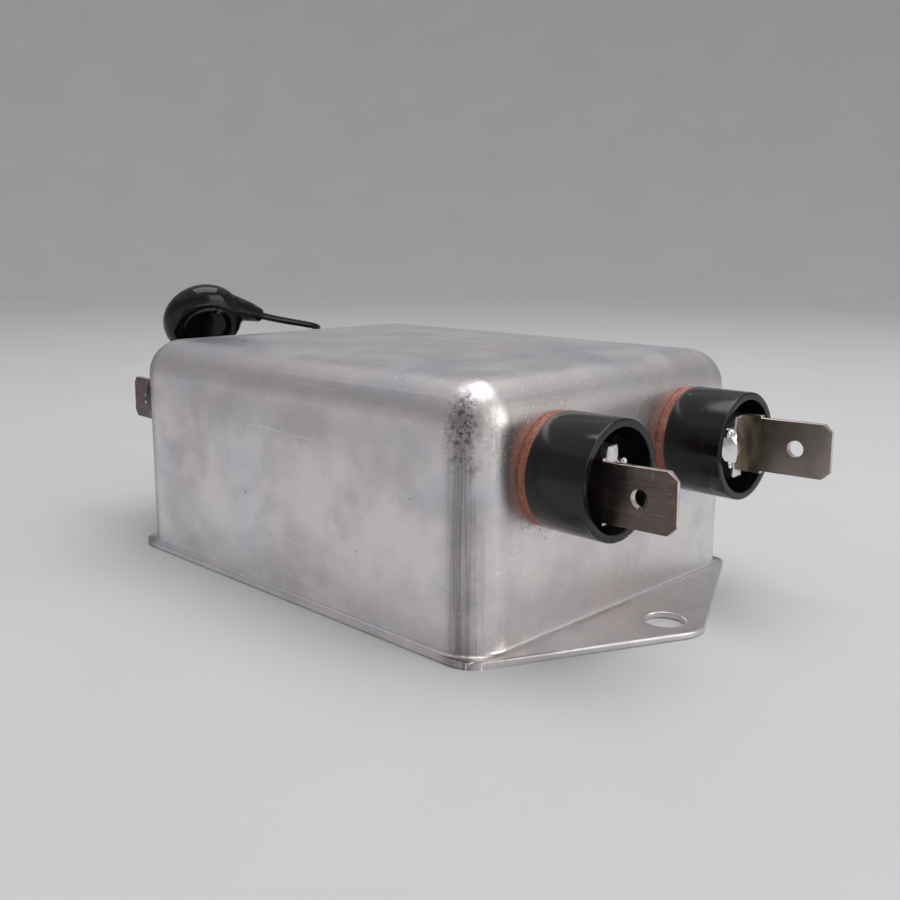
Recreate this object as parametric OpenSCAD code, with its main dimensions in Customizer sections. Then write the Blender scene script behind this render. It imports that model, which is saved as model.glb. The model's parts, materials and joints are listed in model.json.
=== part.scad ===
// Mains EMI line filter in a drawn aluminium can.
// X runs along the can, load end at +X and line end at -X; Y runs across; Z is up.
// The origin lies on the mounting plane, midway between the two mounting holes. Millimetres.

/* [Case] */
// Length of the can, wall to wall
body_l = 65.6; // [62:0.2:80]
// Width of the can, wall to wall
body_w = 50.4; // [48:0.2:64]
// Height of the can above the mounting plane
body_h = 29.6; // [29:0.2:40]
// Thickness of the drawn sheet
sheet_t = 0.8; // [0.6:0.05:1.2]
// Plan radius of the upright corners
corner_r = 5; // [4.9:0.1:8]
// Radius drawn round the top edge
top_r = 4.8; // [2:0.1:4.8]
// Width of the trimmed lip left round the open rim
lip_w = 0.7; // [0.3:0.1:1.5]
// Plan radius of the lip's corners, trimmed sharper than the walls
lip_r = 3.8; // [2.5:0.1:5]
// Outside bend between the walls and the lip
bend_r = 0.6; // [0.2:0.1:1.2]
// Thickness of the plate that closes the can
cover_t = 0.8; // [0.5:0.1:1]
// Gap left between the closing plate and the can wall
cover_gap = 0.15; // [0.05:0.05:0.4]
// Depth the closing plate is set in from the mounting plane
cover_inset = 0.4; // [0:0.1:1]

/* [Mounting ears] */
// Distance between the two mounting holes
hole_spacing = 78.4; // [76:0.2:100]
// Diameter of each mounting hole
hole_d = 4.7; // [3:0.1:5.5]
// Radius of the rounded tip of each ear
ear_r = 4.5; // [4:0.1:7]

/* [Terminal bushings] */
// Distance between the two terminals of one end
terminal_pitch = 25.6; // [22:0.2:30]
// Height of the terminals above the mounting plane
terminal_z = 19.5; // [18:0.1:20]
// Outside diameter of the insulating sleeve
sleeve_d = 12.9; // [12:0.1:14]
// Wall of the insulating sleeve
sleeve_t = 0.9; // [0.7:0.05:1.1]
// How far the sleeve's rim stands out from the can
sleeve_reach = 8.5; // [8:0.1:11]
// Thickness of the sleeve's floor
sleeve_floor_t = 1.2; // [0.8:0.1:1.6]
// Bevel on both edges of the sleeve's rim
rim_bevel = 0.2; // [0.1:0.05:0.3]
// Diameter of the fibre washer under the sleeve
washer_d = 12.7; // [11:0.1:15]
// Thickness of the fibre washer
washer_t = 1.1; // [0.6:0.1:1.4]
// Diameter of the neck that passes through the can
neck_d = 7; // [6:0.1:8]
// Diameter of the washer inside the can
inner_washer_d = 10.4; // [9:0.1:10.4]
// Thickness of the washer inside the can
inner_washer_t = 1.2; // [0.8:0.1:2]
// Clearance round the neck, the posts and the wires
fit_gap = 0.1; // [0.05:0.05:0.2]

/* [Terminal placing] */
// How far the tip of load blade 1 stands out from the can
tip_reach_load_1 = 16.3; // [16:0.1:20]
// How far the tip of load blade 2 stands out from the can
tip_reach_load_2 = 18.5; // [16:0.1:20]
// How far the tip of line blade 1 stands out from the can
tip_reach_line_1 = 19.8; // [16:0.1:20]
// How far the tip of line blade 2 stands out from the can
tip_reach_line_2 = 18; // [16:0.1:20]
// Rise of load blade 1 above the axis of its sleeve
rise_load_1 = -0.75; // [-1.1:0.05:1.1]
// Rise of load blade 2 above the axis of its sleeve
rise_load_2 = 0.55; // [-1.1:0.05:1.1]
// Rise of line blade 1 above the axis of its sleeve
rise_line_1 = -1.1; // [-1.1:0.05:1.1]
// Rise of line blade 2 above the axis of its sleeve
rise_line_2 = 0.2; // [-1.1:0.05:1.1]
// How far the lugs of the load posts lie off the axis of their sleeves
load_lug_offset = 0.42; // [0:0.02:0.6]
// How far the lug of line post 1 lies off the axis of its sleeve
line_1_lug_offset = 0.5; // [0:0.05:0.6]
// How far the lug of line post 2 lies off the axis of its sleeve
line_2_lug_offset = 0.3; // [0:0.05:0.6]

/* [Terminal posts] */
// Diameter of the post's stem
stem_d = 3; // [2:0.1:3.6]
// Diameter of the post's collars
collar_d = 8.6; // [7.4:0.1:9]
// Thickness of the post's collars
collar_t = 0.6; // [0.4:0.1:1]
// Length of the post's tail inside the can
tail_l = 2.6; // [2:0.1:3]
// Thickness of the post's flat lug
lug_t = 1.75; // [1:0.05:2.2]
// Height of the post's flat lug
lug_h = 7.4; // [6:0.1:7.8]
// How far the lug's end lies inside the sleeve's rim
lug_setback = 0.8; // [0.4:0.1:2]

/* [Blade terminals] */
// Width of the blade
blade_w = 6.35; // [4.8:0.05:6.5]
// Thickness of the blade
blade_t = 0.8; // [0.5:0.05:1]
// Length of the blade from its shoulder to its tip
blade_l = 8.5; // [7.5:0.1:9.5]
// Length of the wider root behind the shoulder
root_l = 4.7; // [4:0.1:4.7]
// Width of each shoulder
shoulder_w = 0.3; // [0.1:0.05:0.5]
// Bevel along the blade at its tip corners
tip_bevel_l = 1; // [0.5:0.1:1.5]
// Bevel across the blade at its tip corners
tip_bevel_w = 0.9; // [0.5:0.1:1.5]
// Length of the coined bevel on each face of the blade's tip
coin_l = 1; // [0.5:0.1:1.5]
// Depth of that bevel at the very tip
coin_depth = 0.2; // [0.1:0.05:0.22]
// Diameter of the hole in the blade
blade_hole_d = 1.9; // [1.2:0.1:2.4]
// Distance from the blade's tip to the centre of its hole
blade_hole_setback = 4.2; // [3.5:0.1:5]
// Tilt of the soldered blades in their own plane, degrees
blade_tilt = 1.3; // [0:0.1:2]

// Width of the solder flooded over the lug
solder_w = 6; // [4:0.1:6.2]
// Height of that solder above the lug's face
solder_h = 2.4; // [1.2:0.1:2.6]

/* [Choke] */
// Outside diameter of the ring core
core_od = 25; // [22:0.5:27]
// Inside diameter of the ring core
core_id = 13; // [12:0.5:14]
// Height of the ring core
core_h = 10; // [8:0.5:11]
// Diameter of the enamelled wire
wire_d = 1; // [0.8:0.05:1.1]
// Turns in each winding
turns = 10; // [6:1:10]
// Arc of the core that each winding covers, degrees
winding_arc = 124; // [110:2:130]
// Thickness of the divider between the windings
divider_t = 1.2; // [0.8:0.1:1.8]
// Thickness of the pad under the core
pad_t = 1.6; // [1.5:0.1:2.5]
// Thickness of the insulating card under the parts
card_t = 0.4; // [0.2:0.1:0.8]
// Centre of the core along the can
core_x = -2.4; // [-3:0.1:-2]

/* [Capacitors and resistor] */
// Thickness of the line capacitor
x_cap_t = 8.5; // [6:0.1:8.5]
// Width of the line capacitor
x_cap_w = 18; // [17:0.5:26]
// Height of the line capacitor
x_cap_h = 15; // [11:0.5:15]
// Distance between the line capacitor's leads
x_cap_pitch = 15; // [10:0.5:16]
// Diameter of each earth capacitor
y_cap_d = 9; // [7:0.5:10]
// Thickness of each earth capacitor
y_cap_t = 4.4; // [3:0.1:5]
// Distance between an earth capacitor's leads
y_cap_pitch = 5; // [4:0.5:6]
// Length of the bleed resistor's body
resistor_l = 9; // [6:0.5:11]
// Diameter of the bleed resistor's body
resistor_d = 3.4; // [2.5:0.1:4]
// Diameter of the component leads
lead_d = 0.7; // [0.5:0.05:0.8]

/* [Surge varistor] */
// Diameter of the varistor disc
disc_d = 12.4; // [11:0.1:13]
// Thickness of the varistor disc
disc_t = 4.6; // [3.6:0.1:5]
// Distance between the varistor's leads
disc_pitch = 7.5; // [5:0.5:8]
// Diameter of the varistor's leads
disc_lead_d = 0.8; // [0.6:0.05:1]
// How far the middle of the disc lies out from the line end of the can
disc_out = 7.8; // [7.5:0.1:9]
// How far the middle of the disc lies to the -Y side of the can's middle
disc_aside = 9; // [7:0.1:9.5]
// Height of the middle of the disc above the mounting plane
disc_z = 31.05; // [30.5:0.05:33]
// Length of the coating that runs down each lead
disc_neck_l = 2.4; // [2:0.1:4]
// Diameter of that coating where it leaves the disc
disc_neck_d = 3.1; // [2.4:0.1:3.4]
// Diameter of that coating where it ends on the lead
disc_neck_end_d = 2.2; // [1.2:0.1:2.4]

/* [Hidden] */
$fn = 72;
cut = 0.5;

// Each terminal: end of the can (1 load, -1 line), side of the can (1 is +Y), which side of the
// post's lug the blade is soldered to, the lug's offset across the sleeve, the blade's rise
// above the sleeve's axis, and how far the blade's tip stands out from the can.
LOAD_1 = [1, -1, -1, -load_lug_offset, rise_load_1, tip_reach_load_1];
LOAD_2 = [1, 1, 1, -load_lug_offset, rise_load_2, tip_reach_load_2];
LINE_1 = [-1, -1, 1, line_1_lug_offset, rise_line_1, tip_reach_line_1];
LINE_2 = [-1, 1, -1, line_2_lug_offset, rise_line_2, tip_reach_line_2];

end_x = body_l / 2;
ear_x = hole_spacing / 2;
sleeve_bore_d = sleeve_d - 2 * sleeve_t;
neck_hole_d = neck_d + 2 * fit_gap;
stem_hole_d = stem_d + 2 * fit_gap;
floor_x = washer_t + sleeve_floor_t;
lug_end_x = sleeve_reach - lug_setback;
inner_x = -sheet_t - inner_washer_t;
tail_x = inner_x - collar_t - tail_l;

inside_l = body_l - 2 * sheet_t;
inside_w = body_w - 2 * sheet_t;
inside_r = corner_r - sheet_t;
cover_top = cover_inset + cover_t;
card_top = cover_top + card_t;
pad_top = card_top + pad_t;
winding_gap = 0.3;
winding_rise = wire_d / 2 + winding_gap;
core_z = pad_top + core_h / 2;
post_in_x = end_x + tail_x;
x_cap_x = core_x - core_od / 2 - 2 * winding_rise - 0.5 - x_cap_t / 2;
x_cap_top = card_top + x_cap_h;
y_cap_x = core_x + core_od / 2 + 2 * winding_rise + 0.8 + y_cap_t / 2;
y_cap_y = 8.5;
y_cap_z = card_top + y_cap_d / 2;
earth_lug_h = 6;
earth_lug_w = 12;
earth_lug_t = 0.5;
resistor_drop = 2.5;
resistor_inset = 4;
resistor_z = body_h - sheet_t - resistor_drop - resistor_d / 2;
resistor_x = -(post_in_x - resistor_inset);
lead_rise = 1;
post_lap = 0.8;

// ---- Colours -------------------------------------------------------------------------------

ALUMINIUM = [0.78, 0.77, 0.77];
BLACK_PLASTIC = [0.05, 0.05, 0.055];
RED_FIBRE = [0.62, 0.27, 0.18];
TINNED = [0.42, 0.37, 0.34];
SOLDER = [0.82, 0.81, 0.8];
BROWN_PAPER = [0.55, 0.42, 0.28];
FERRITE = [0.22, 0.22, 0.24];
ENAMEL = [0.63, 0.3, 0.12];

// ---- Shared shapes -------------------------------------------------------------------------

// Rectangle centred on the origin with round corners.
module rounded_rectangle(l, w, r) {
    square([l - 2 * r, w], center = true);
    square([l, w - 2 * r], center = true);
    for (x = [-1, 1], y = [-1, 1])
        translate([x * (l / 2 - r), y * (w / 2 - r)]) circle(r);
}

// Upright section of a drawn block: flat foot, upper corners rounded.
module drawn_section(w, h, r) {
    translate([-w / 2, 0]) square([w, h - r]);
    translate([-w / 2 + r, 0]) square([w - 2 * r, h]);
    for (x = [-1, 1]) translate([x * (w / 2 - r), h - r]) circle(r);
}

// Solid block as a drawing press leaves it: round upright corners and a round top edge.
module drawn_block(l, w, h, plan_r, edge_r) {
    translate([-(l / 2 - plan_r), 0, 0]) rotate([90, 0, 90])
        linear_extrude(l - 2 * plan_r) drawn_section(w, h, edge_r);
    translate([0, w / 2 - plan_r, 0]) rotate([90, 0, 0])
        linear_extrude(w - 2 * plan_r) drawn_section(l, h, edge_r);
    for (q = [0 : 3])
        translate([(q == 0 || q == 3 ? 1 : -1) * (l / 2 - plan_r), (q < 2 ? 1 : -1) * (w / 2 - plan_r), 0])
            rotate([0, 0, 90 * q]) rotate_extrude(angle = 90) intersection() {
                translate([plan_r - edge_r, 0]) union() {
                    translate([0, h - edge_r]) circle(edge_r);
                    translate([-plan_r, 0]) square([plan_r, h]);
                    square([edge_r, h - edge_r]);
                }
                square([plan_r, h]);
            }
}

// Places a child in a terminal's own frame: +X leaves the can, the origin is on the wall.
module at_terminal(t) {
    translate([t[0] * end_x, t[1] * terminal_pitch / 2, terminal_z])
        rotate([0, 0, t[0] > 0 ? 0 : 180]) children();
}

// Ring or disc along +X from x0 to x1.
module ring_x(x0, x1, d, bore = 0) {
    translate([x0, 0, 0]) rotate([0, 90, 0]) difference() {
        cylinder(h = x1 - x0, d = d);
        if (bore > 0) translate([0, 0, -cut]) cylinder(h = x1 - x0 + 2 * cut, d = bore);
    }
}

// Unit vector along v.
function unit(v) = v / norm(v);

// Tangent of a path at point i.
function tangent(p, i) = unit(p[min(i + 1, len(p) - 1)] - p[max(i - 1, 0)]);

// First ring direction square to the path's start.
function first_normal(d) = unit(cross(d, abs(d[2]) < 0.9 ? [0, 0, 1] : [1, 0, 0]));

// Ring directions carried along the path without twist, each worked out from the one before.
function normals(p, n = [], i = 0) = i == len(p) ? n :
    let (d = tangent(p, i), last = i == 0 ? first_normal(d) : n[i - 1])
        normals(p, concat(n, [unit(last - (last * d) * d)]), i + 1);

// Rounds the inner corners of a polyline, each with an arc of three steps.
function rounded_path(p, r) = concat([p[0]], [
    for (i = [1 : len(p) - 2])
        let (a = unit(p[i - 1] - p[i]), b = unit(p[i + 1] - p[i]),
             reach = min(r, norm(p[i - 1] - p[i]) / 2.2, norm(p[i + 1] - p[i]) / 2.2),
             u = p[i] + a * reach, v = p[i] + b * reach)
            for (k = [0 : 3]) let (s = k / 3)
                (1 - s) * (1 - s) * u + 2 * s * (1 - s) * p[i] + s * s * v
], [p[len(p) - 1]]);

// Round wire swept along a path.
module wire(path, d, sides = 8) {
    n = normals(path);
    rings = [for (i = [0 : len(path) - 1]) let (u = n[i], w = cross(tangent(path, i), u))
        for (k = [0 : sides - 1]) path[i] + d / 2 * (cos(360 * k / sides) * u + sin(360 * k / sides) * w)];
    last = (len(path) - 1) * sides;
    sides_faces = [for (i = [0 : len(path) - 2], k = [0 : sides - 1])
        for (half = [0, 1]) let (a = i * sides + k, b = i * sides + (k + 1) % sides)
            half == 0 ? [a, b, b + sides] : [a, b + sides, a + sides]];
    polyhedron(rings, concat([[for (k = [sides - 1 : -1 : 0]) k]], sides_faces,
        [[for (k = [0 : sides - 1]) last + k]]), convexity = 6);
}

// ---- Case ----------------------------------------------------------------------------------

// Plan of the lip with its two ears. Each ear's edges are tangent to the lip's round corners
// and to the ear's round tip.
module flange_plan() {
    corner = [end_x + lip_w - lip_r, body_w / 2 + lip_w - lip_r];
    apart = corner - [ear_x, 0];
    square_to_edge = atan2(apart[1], apart[0]) - acos((ear_r - lip_r) / norm(apart));
    away = [cos(square_to_edge), sin(square_to_edge)];
    rounded_rectangle(body_l + 2 * lip_w, body_w + 2 * lip_w, lip_r);
    for (s = [0, 180]) rotate(s) {
        translate([ear_x, 0]) circle(ear_r);
        for (m = [0, 1]) mirror([0, m])
            polygon([[0, 0], [ear_x, 0], [ear_x, 0] + ear_r * away, corner + lip_r * away, corner]);
    }
}

// Concave bend that joins the foot of the walls to the lip, all the way round.
module lip_bend() {
    module bend_section(x) {
        translate([x - cut, 0]) difference() {
            square([cut + bend_r, sheet_t + bend_r]);
            translate([cut + bend_r, sheet_t + bend_r]) circle(bend_r);
        }
    }
    for (s = [0, 180]) rotate([0, 0, s]) {
        translate([0, body_w / 2 - corner_r, 0]) rotate([90, 0, 0])
            linear_extrude(body_w - 2 * corner_r) bend_section(end_x);
        rotate([0, 0, 90]) translate([0, body_l / 2 - corner_r, 0]) rotate([90, 0, 0])
            linear_extrude(body_l - 2 * corner_r) bend_section(body_w / 2);
    }
    for (q = [0 : 3])
        translate([(q == 0 || q == 3 ? 1 : -1) * (end_x - corner_r),
                   (q < 2 ? 1 : -1) * (body_w / 2 - corner_r), 0])
            rotate([0, 0, 90 * q]) rotate_extrude(angle = 90) bend_section(corner_r);
}

module case() {
    color(ALUMINIUM) difference() {
        union() {
            drawn_block(body_l, body_w, body_h, corner_r, top_r);
            linear_extrude(sheet_t) flange_plan();
            lip_bend();
        }
        translate([0, 0, -cut])
            drawn_block(inside_l, inside_w, body_h - sheet_t + cut, inside_r, top_r - sheet_t);
        for (s = [-1, 1]) translate([s * ear_x, 0, -cut]) cylinder(h = sheet_t + 2 * cut, d = hole_d);
        for (t = [LOAD_1, LOAD_2, LINE_1, LINE_2])
            at_terminal(t) ring_x(-sheet_t - cut, cut, neck_hole_d);
    }
}

module bottom_plate() {
    color(ALUMINIUM) translate([0, 0, cover_inset]) linear_extrude(cover_t)
        rounded_rectangle(inside_l - 2 * cover_gap, inside_w - 2 * cover_gap, inside_r - cover_gap);
}

// ---- Terminals -----------------------------------------------------------------------------

// Black insulating sleeve: a cup on the washer whose neck passes through the can, turned from
// one half section.
module sleeve(t) {
    bore_r = sleeve_bore_d / 2;
    color(BLACK_PLASTIC) at_terminal(t) rotate([0, 90, 0]) rotate_extrude() polygon([
        [stem_hole_d / 2, inner_x], [neck_d / 2, inner_x], [neck_d / 2, washer_t],
        [sleeve_d / 2, washer_t], [sleeve_d / 2, sleeve_reach - rim_bevel],
        [sleeve_d / 2 - rim_bevel, sleeve_reach], [bore_r + rim_bevel, sleeve_reach],
        [bore_r, sleeve_reach - rim_bevel], [bore_r, floor_x], [stem_hole_d / 2, floor_x]]);
}

// Red fibre washer between the sleeve and the can.
module washer(t) {
    color(RED_FIBRE) at_terminal(t) ring_x(0, washer_t, washer_d, neck_hole_d);
}

// Fibre washer on the inner side of the can wall.
module inner_washer(t) {
    color(RED_FIBRE) at_terminal(t) ring_x(inner_x, -sheet_t, inner_washer_d, neck_hole_d);
}

// Post: a stem through the neck, a collar at each end of it, a flat lug outside and a tail inside.
module post(t) {
    color(SOLDER) at_terminal(t) {
        ring_x(tail_x, floor_x + collar_t, stem_d);
        ring_x(inner_x - collar_t, inner_x, collar_d);
        ring_x(floor_x, floor_x + collar_t, collar_d);
        translate([floor_x, t[3] - lug_t / 2, -lug_h / 2]) cube([lug_end_x - floor_x, lug_t, lug_h]);
    }
}

// Centre of a blade's thickness across its sleeve.
function blade_y(t) = t[3] + t[2] * (lug_t + blade_t) / 2;

// Places a child in a blade's own frame: origin at the centre of its tip, +X out of the can.
module at_blade(t) {
    at_terminal(t) translate([t[5], blade_y(t), t[4]]) rotate([0, -blade_tilt, 0]) children();
}

// Flat quick-connect blade with a shouldered root, bevelled and coined tip and detent hole.
module blade(t) {
    w = blade_w / 2;
    root_w = w + shoulder_w;
    half_t = blade_t / 2;
    color(TINNED) at_blade(t) rotate([90, 0, 0]) difference() {
        intersection() {
            linear_extrude(blade_t, center = true) polygon([
                [0, w - tip_bevel_w], [-tip_bevel_l, w], [-blade_l, w], [-blade_l, root_w],
                [-blade_l - root_l, root_w], [-blade_l - root_l, -root_w],
                [-blade_l, -root_w], [-blade_l, -w], [-tip_bevel_l, -w], [0, -w + tip_bevel_w]]);
            rotate([90, 0, 0]) linear_extrude(3 * root_w, center = true) polygon([
                [cut, coin_depth - half_t], [0, coin_depth - half_t], [-coin_l, -half_t],
                [-blade_l - root_l - cut, -half_t], [-blade_l - root_l - cut, half_t],
                [-coin_l, half_t], [0, half_t - coin_depth], [cut, half_t - coin_depth]]);
        }
        translate([-blade_hole_setback, 0, -blade_t]) cylinder(h = 2 * blade_t, d = blade_hole_d);
    }
}

// Dome of solder on the side of the lug that faces away from the blade, flooded over its end.
module solder(t) {
    dome_r = (solder_w * solder_w / 4 + solder_h * solder_h) / (2 * solder_h);
    face_y = t[3] - t[2] * lug_t / 2;
    color(SOLDER) at_terminal(t) intersection() {
        translate([lug_end_x - solder_w / 2 + 0.8, face_y + t[2] * (dome_r - solder_h), 0]) sphere(dome_r);
        translate([floor_x + collar_t, face_y - (t[2] > 0 ? 2 * dome_r : 0), -dome_r])
            cube([lug_end_x, 2 * dome_r, 2 * dome_r]);
    }
}

// ---- Choke ---------------------------------------------------------------------------------

core_bevel = 1.6;

module choke_core() {
    color(FERRITE) translate([core_x, 0, core_z]) rotate_extrude()
        translate([(core_od + core_id) / 4, 0])
            rounded_rectangle((core_od - core_id) / 2, core_h, core_bevel);
}

module choke_divider() {
    width = core_id - 2 * fit_gap;
    color(BROWN_PAPER) translate([core_x - width / 2, -divider_t / 2, pad_top])
        cube([width, divider_t, core_h]);
}

module choke_pad() {
    color(BROWN_PAPER) translate([core_x, 0, card_top]) difference() {
        cylinder(h = pad_t, d = core_od);
        for (s = [0, 180]) rotate([0, 0, s])
            translate([0, 0, -cut]) rotate_extrude(angle = winding_arc + 16, start = 82 - winding_arc / 2)
                square([core_od, pad_t + 2 * cut]);
    }
}

// Point of a winding: round the core's section as the angle about the core's axis grows.
function winding_point(turn, side) =
    let (section = 360 * turn,
         round_a = (core_od - core_id) / 4 + winding_rise,
         round_b = core_h / 2 + winding_rise,
         out = sign(cos(section)) * sqrt(abs(cos(section))) * round_a,
         up = sign(sin(section)) * sqrt(abs(sin(section))) * round_b,
         around = 90 * side + side * winding_arc * (0.5 - turn / turns),
         r = (core_od + core_id) / 4 + out)
    [core_x + r * cos(around), r * sin(around), core_z + up];

// One winding of a single wire, from its line post, round the core, to its load post.
module winding(side) {
    steps = 12;
    lift = [0, 0, core_h / 2 + 1.5];
    first = winding_point(0, side);
    last = winding_point(turns, side);
    post_y = side * terminal_pitch / 2;
    load_end = [post_in_x - 0.1, post_y, terminal_z];
    line_end = [-post_in_x + 0.1, post_y, terminal_z];
    turns_path = [for (i = [0 : turns * steps]) winding_point(turns - i / steps, side)];
    color(ENAMEL) wire(concat(
        rounded_path([line_end, line_end + [3, 0, 0], last + lift + [-1.5, 0, 1.5], last + lift, last], 2),
        [for (i = [1 : len(turns_path) - 2]) turns_path[i]],
        rounded_path([first, first + lift, first + lift + [1.5, 0, 1.5], load_end - [3, 0, 0], load_end], 2)),
        wire_d, 6);
}

module insulating_card() {
    color(BROWN_PAPER) translate([0, 0, cover_top]) linear_extrude(card_t)
        rounded_rectangle(inside_l - 2 * cover_gap, inside_w - 2 * cover_gap, inside_r - cover_gap);
}

// ---- Capacitors and resistor ---------------------------------------------------------------

module x_capacitor() {
    color([0.85, 0.7, 0.2]) translate([x_cap_x, 0, card_top])
        linear_extrude(x_cap_h) rounded_rectangle(x_cap_t, x_cap_w, 0.8);
}

// Leads from the top of the line capacitor to the tails of the line posts.
module x_capacitor_leads() {
    color(SOLDER) for (s = [-1, 1]) {
        tail = [-post_in_x - post_lap, s * terminal_pitch / 2, terminal_z - stem_d / 2 - lead_d / 2 - fit_gap];
        foot = [x_cap_x, s * x_cap_pitch / 2, x_cap_top];
        over = x_cap_top + max(lead_rise, lead_d);
        wire(rounded_path([foot, [foot[0], foot[1], over], [tail[0] + lead_d, tail[1], over], tail], 1), lead_d);
    }
}

module y_capacitor(s) {
    color([0.2, 0.4, 0.65]) translate([y_cap_x, s * y_cap_y, y_cap_z]) rotate([0, 90, 0])
        cylinder(h = y_cap_t, d = y_cap_d, center = true);
}

// One lead up to the load post's tail, one down to the earth lug.
module y_capacitor_leads(s) {
    outer = [y_cap_x, s * (y_cap_y + y_cap_pitch / 2), y_cap_z + y_cap_d / 2 - 0.6];
    inner = [y_cap_x, s * (y_cap_y - y_cap_pitch / 2), y_cap_z + y_cap_d / 2 - 0.6];
    tail = [post_in_x + post_lap, s * terminal_pitch / 2, terminal_z - stem_d / 2 - lead_d / 2 - fit_gap];
    lug = [end_x - sheet_t - earth_lug_t - lead_d / 2 - fit_gap, s * 3, card_top + earth_lug_h - 1];
    color(SOLDER) difference() {
        union() {
            wire(rounded_path([outer, [outer[0], outer[1], tail[2] - 3], tail - [2, 0, 0], tail], 1), lead_d);
            wire(rounded_path([inner, inner + [0, 0, 3], [lug[0], inner[1], inner[2] + 3], lug], 1), lead_d);
        }
        translate([y_cap_x, s * y_cap_y, y_cap_z]) rotate([0, 90, 0])
            cylinder(h = y_cap_t + cut, d = y_cap_d, center = true);
    }
}

// Tag on the inside of the load end wall that earths the two small capacitors.
module earth_lug() {
    color(SOLDER) translate([end_x - sheet_t - earth_lug_t, -earth_lug_w / 2, card_top])
        cube([earth_lug_t, earth_lug_w, earth_lug_h]);
}

module bleed_resistor() {
    color([0.75, 0.62, 0.45]) translate([resistor_x, 0, resistor_z]) rotate([90, 0, 0])
        cylinder(h = resistor_l, d = resistor_d, center = true);
}

module bleed_resistor_leads() {
    color(SOLDER) for (s = [-1, 1]) {
        tail = [-post_in_x - post_lap, s * terminal_pitch / 2, terminal_z + stem_d / 2 + lead_d / 2 + fit_gap];
        wire(rounded_path([[resistor_x, s * resistor_l / 2, resistor_z],
            [resistor_x, tail[1], resistor_z], [resistor_x, tail[1], tail[2]], tail], 1), lead_d);
    }
}

// ---- Surge varistor ------------------------------------------------------------------------

// The varistor hangs on its leads behind the line end, leaning over towards the can's edge.
disc_centre = [-(end_x + disc_out), -disc_aside, disc_z];
disc_turn = 16;
disc_lean = 33;
disc_dip = 21;

// Places a child in the disc's frame: +X is the disc's axis, +Y the way the leads leave.
module at_disc() {
    translate(disc_centre) rotate([0, 0, -disc_turn]) rotate([0, disc_lean, 0])
        rotate([-disc_dip, 0, 0]) children();
}

// The same placing as at_disc, for points.
function turn_x(p, a) = [p[0], p[1] * cos(a) - p[2] * sin(a), p[1] * sin(a) + p[2] * cos(a)];
function turn_y(p, a) = [p[0] * cos(a) + p[2] * sin(a), p[1], -p[0] * sin(a) + p[2] * cos(a)];
function turn_z(p, a) = [p[0] * cos(a) - p[1] * sin(a), p[0] * sin(a) + p[1] * cos(a), p[2]];
function from_disc(p) = disc_centre + turn_z(turn_y(turn_x(p, -disc_dip), disc_lean), -disc_turn);

// Where a lead of the varistor leaves its coating, and a point farther along the same line.
function disc_exit(s, out) = [0, disc_d / 2 + out, s * disc_pitch / 2];

module varistor() {
    color(BLACK_PLASTIC) at_disc() {
        rotate([0, 90, 0]) {
            cylinder(h = disc_t, d = disc_d - disc_t, center = true);
            rotate_extrude() intersection() {
                translate([disc_d / 2 - disc_t / 2, 0]) circle(d = disc_t);
                translate([0, -disc_t]) square([disc_d, 2 * disc_t]);
            }
        }
        for (s = [-1, 1]) translate([0, 0, s * disc_pitch / 2]) rotate([-90, 0, 0])
            rotate_extrude() polygon([
                [0, 0], [disc_t / 2 - fit_gap, 0], [disc_neck_d / 2, disc_d / 2],
                [disc_neck_end_d / 2, disc_d / 2 + disc_neck_l], [0, disc_d / 2 + disc_neck_l]]);
    }
}

// Lead from the varistor to the outer face of a line blade.
module varistor_lead(s) {
    color(SOLDER) wire(varistor_path(s), disc_lead_d, 10);
}

// Where a lead lies against the root of its blade, just outside the sleeve.
joint_r = 1.3;
joint_reach = disc_lead_d / 2 + 2 * fit_gap;
function joint_point(t) = [-(end_x + sleeve_reach + joint_r + 0.3),
    t[1] * terminal_pitch / 2 - blade_y(t) - t[1] * (blade_t / 2 + joint_reach), terminal_z + t[4]];

// Way of each lead from the end of its coating to its joint: the upper lead runs across and
// drops to the far blade, and the lower one turns back under the disc.
function varistor_path(s) =
    let (j = joint_point(s > 0 ? LINE_2 : LINE_1),
         neck = from_disc(disc_exit(s, disc_neck_l)),
         ahead = from_disc(disc_exit(s, disc_neck_l + 1.5)),
         between = s > 0 ? [j + [6.8, -1.4, 9.3], j + [0, 0, 7.5]]
                         : [ahead + [-4.8, 0.3, -2], j + [-0.5, 7.7, 4], j + [0, 0, 4.2]])
    rounded_path(concat([neck, ahead], between, [j - [0, 0, 1]]), 2.5);

// Bead of solder round a lead of the varistor, flat where it meets the blade.
module varistor_joint(s) {
    t = s > 0 ? LINE_2 : LINE_1;
    slab = 4 * joint_r;
    color(SOLDER) translate(joint_point(t)) difference() {
        rotate_extrude() difference() {
            circle(joint_r);
            translate([-slab + (disc_lead_d + fit_gap) / 2, -slab / 2]) square(slab);
        }
        translate([0, t[1] * (joint_reach + slab / 2), 0]) cube(slab, center = true);
    }
}

case();
bottom_plate();
sleeve(LOAD_1);  // sleeve_load_1
sleeve(LOAD_2);  // sleeve_load_2
sleeve(LINE_1);  // sleeve_line_1
sleeve(LINE_2);  // sleeve_line_2
washer(LOAD_1);  // washer_load_1
washer(LOAD_2);  // washer_load_2
washer(LINE_1);  // washer_line_1
washer(LINE_2);  // washer_line_2
inner_washer(LOAD_1);  // inner_washer_load_1
inner_washer(LOAD_2);  // inner_washer_load_2
inner_washer(LINE_1);  // inner_washer_line_1
inner_washer(LINE_2);  // inner_washer_line_2
post(LOAD_1);  // post_load_1
post(LOAD_2);  // post_load_2
post(LINE_1);  // post_line_1
post(LINE_2);  // post_line_2
blade(LOAD_1);  // blade_load_1
blade(LOAD_2);  // blade_load_2
blade(LINE_1);  // blade_line_1
blade(LINE_2);  // blade_line_2
solder(LOAD_1);  // solder_load_1
solder(LOAD_2);  // solder_load_2
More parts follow.
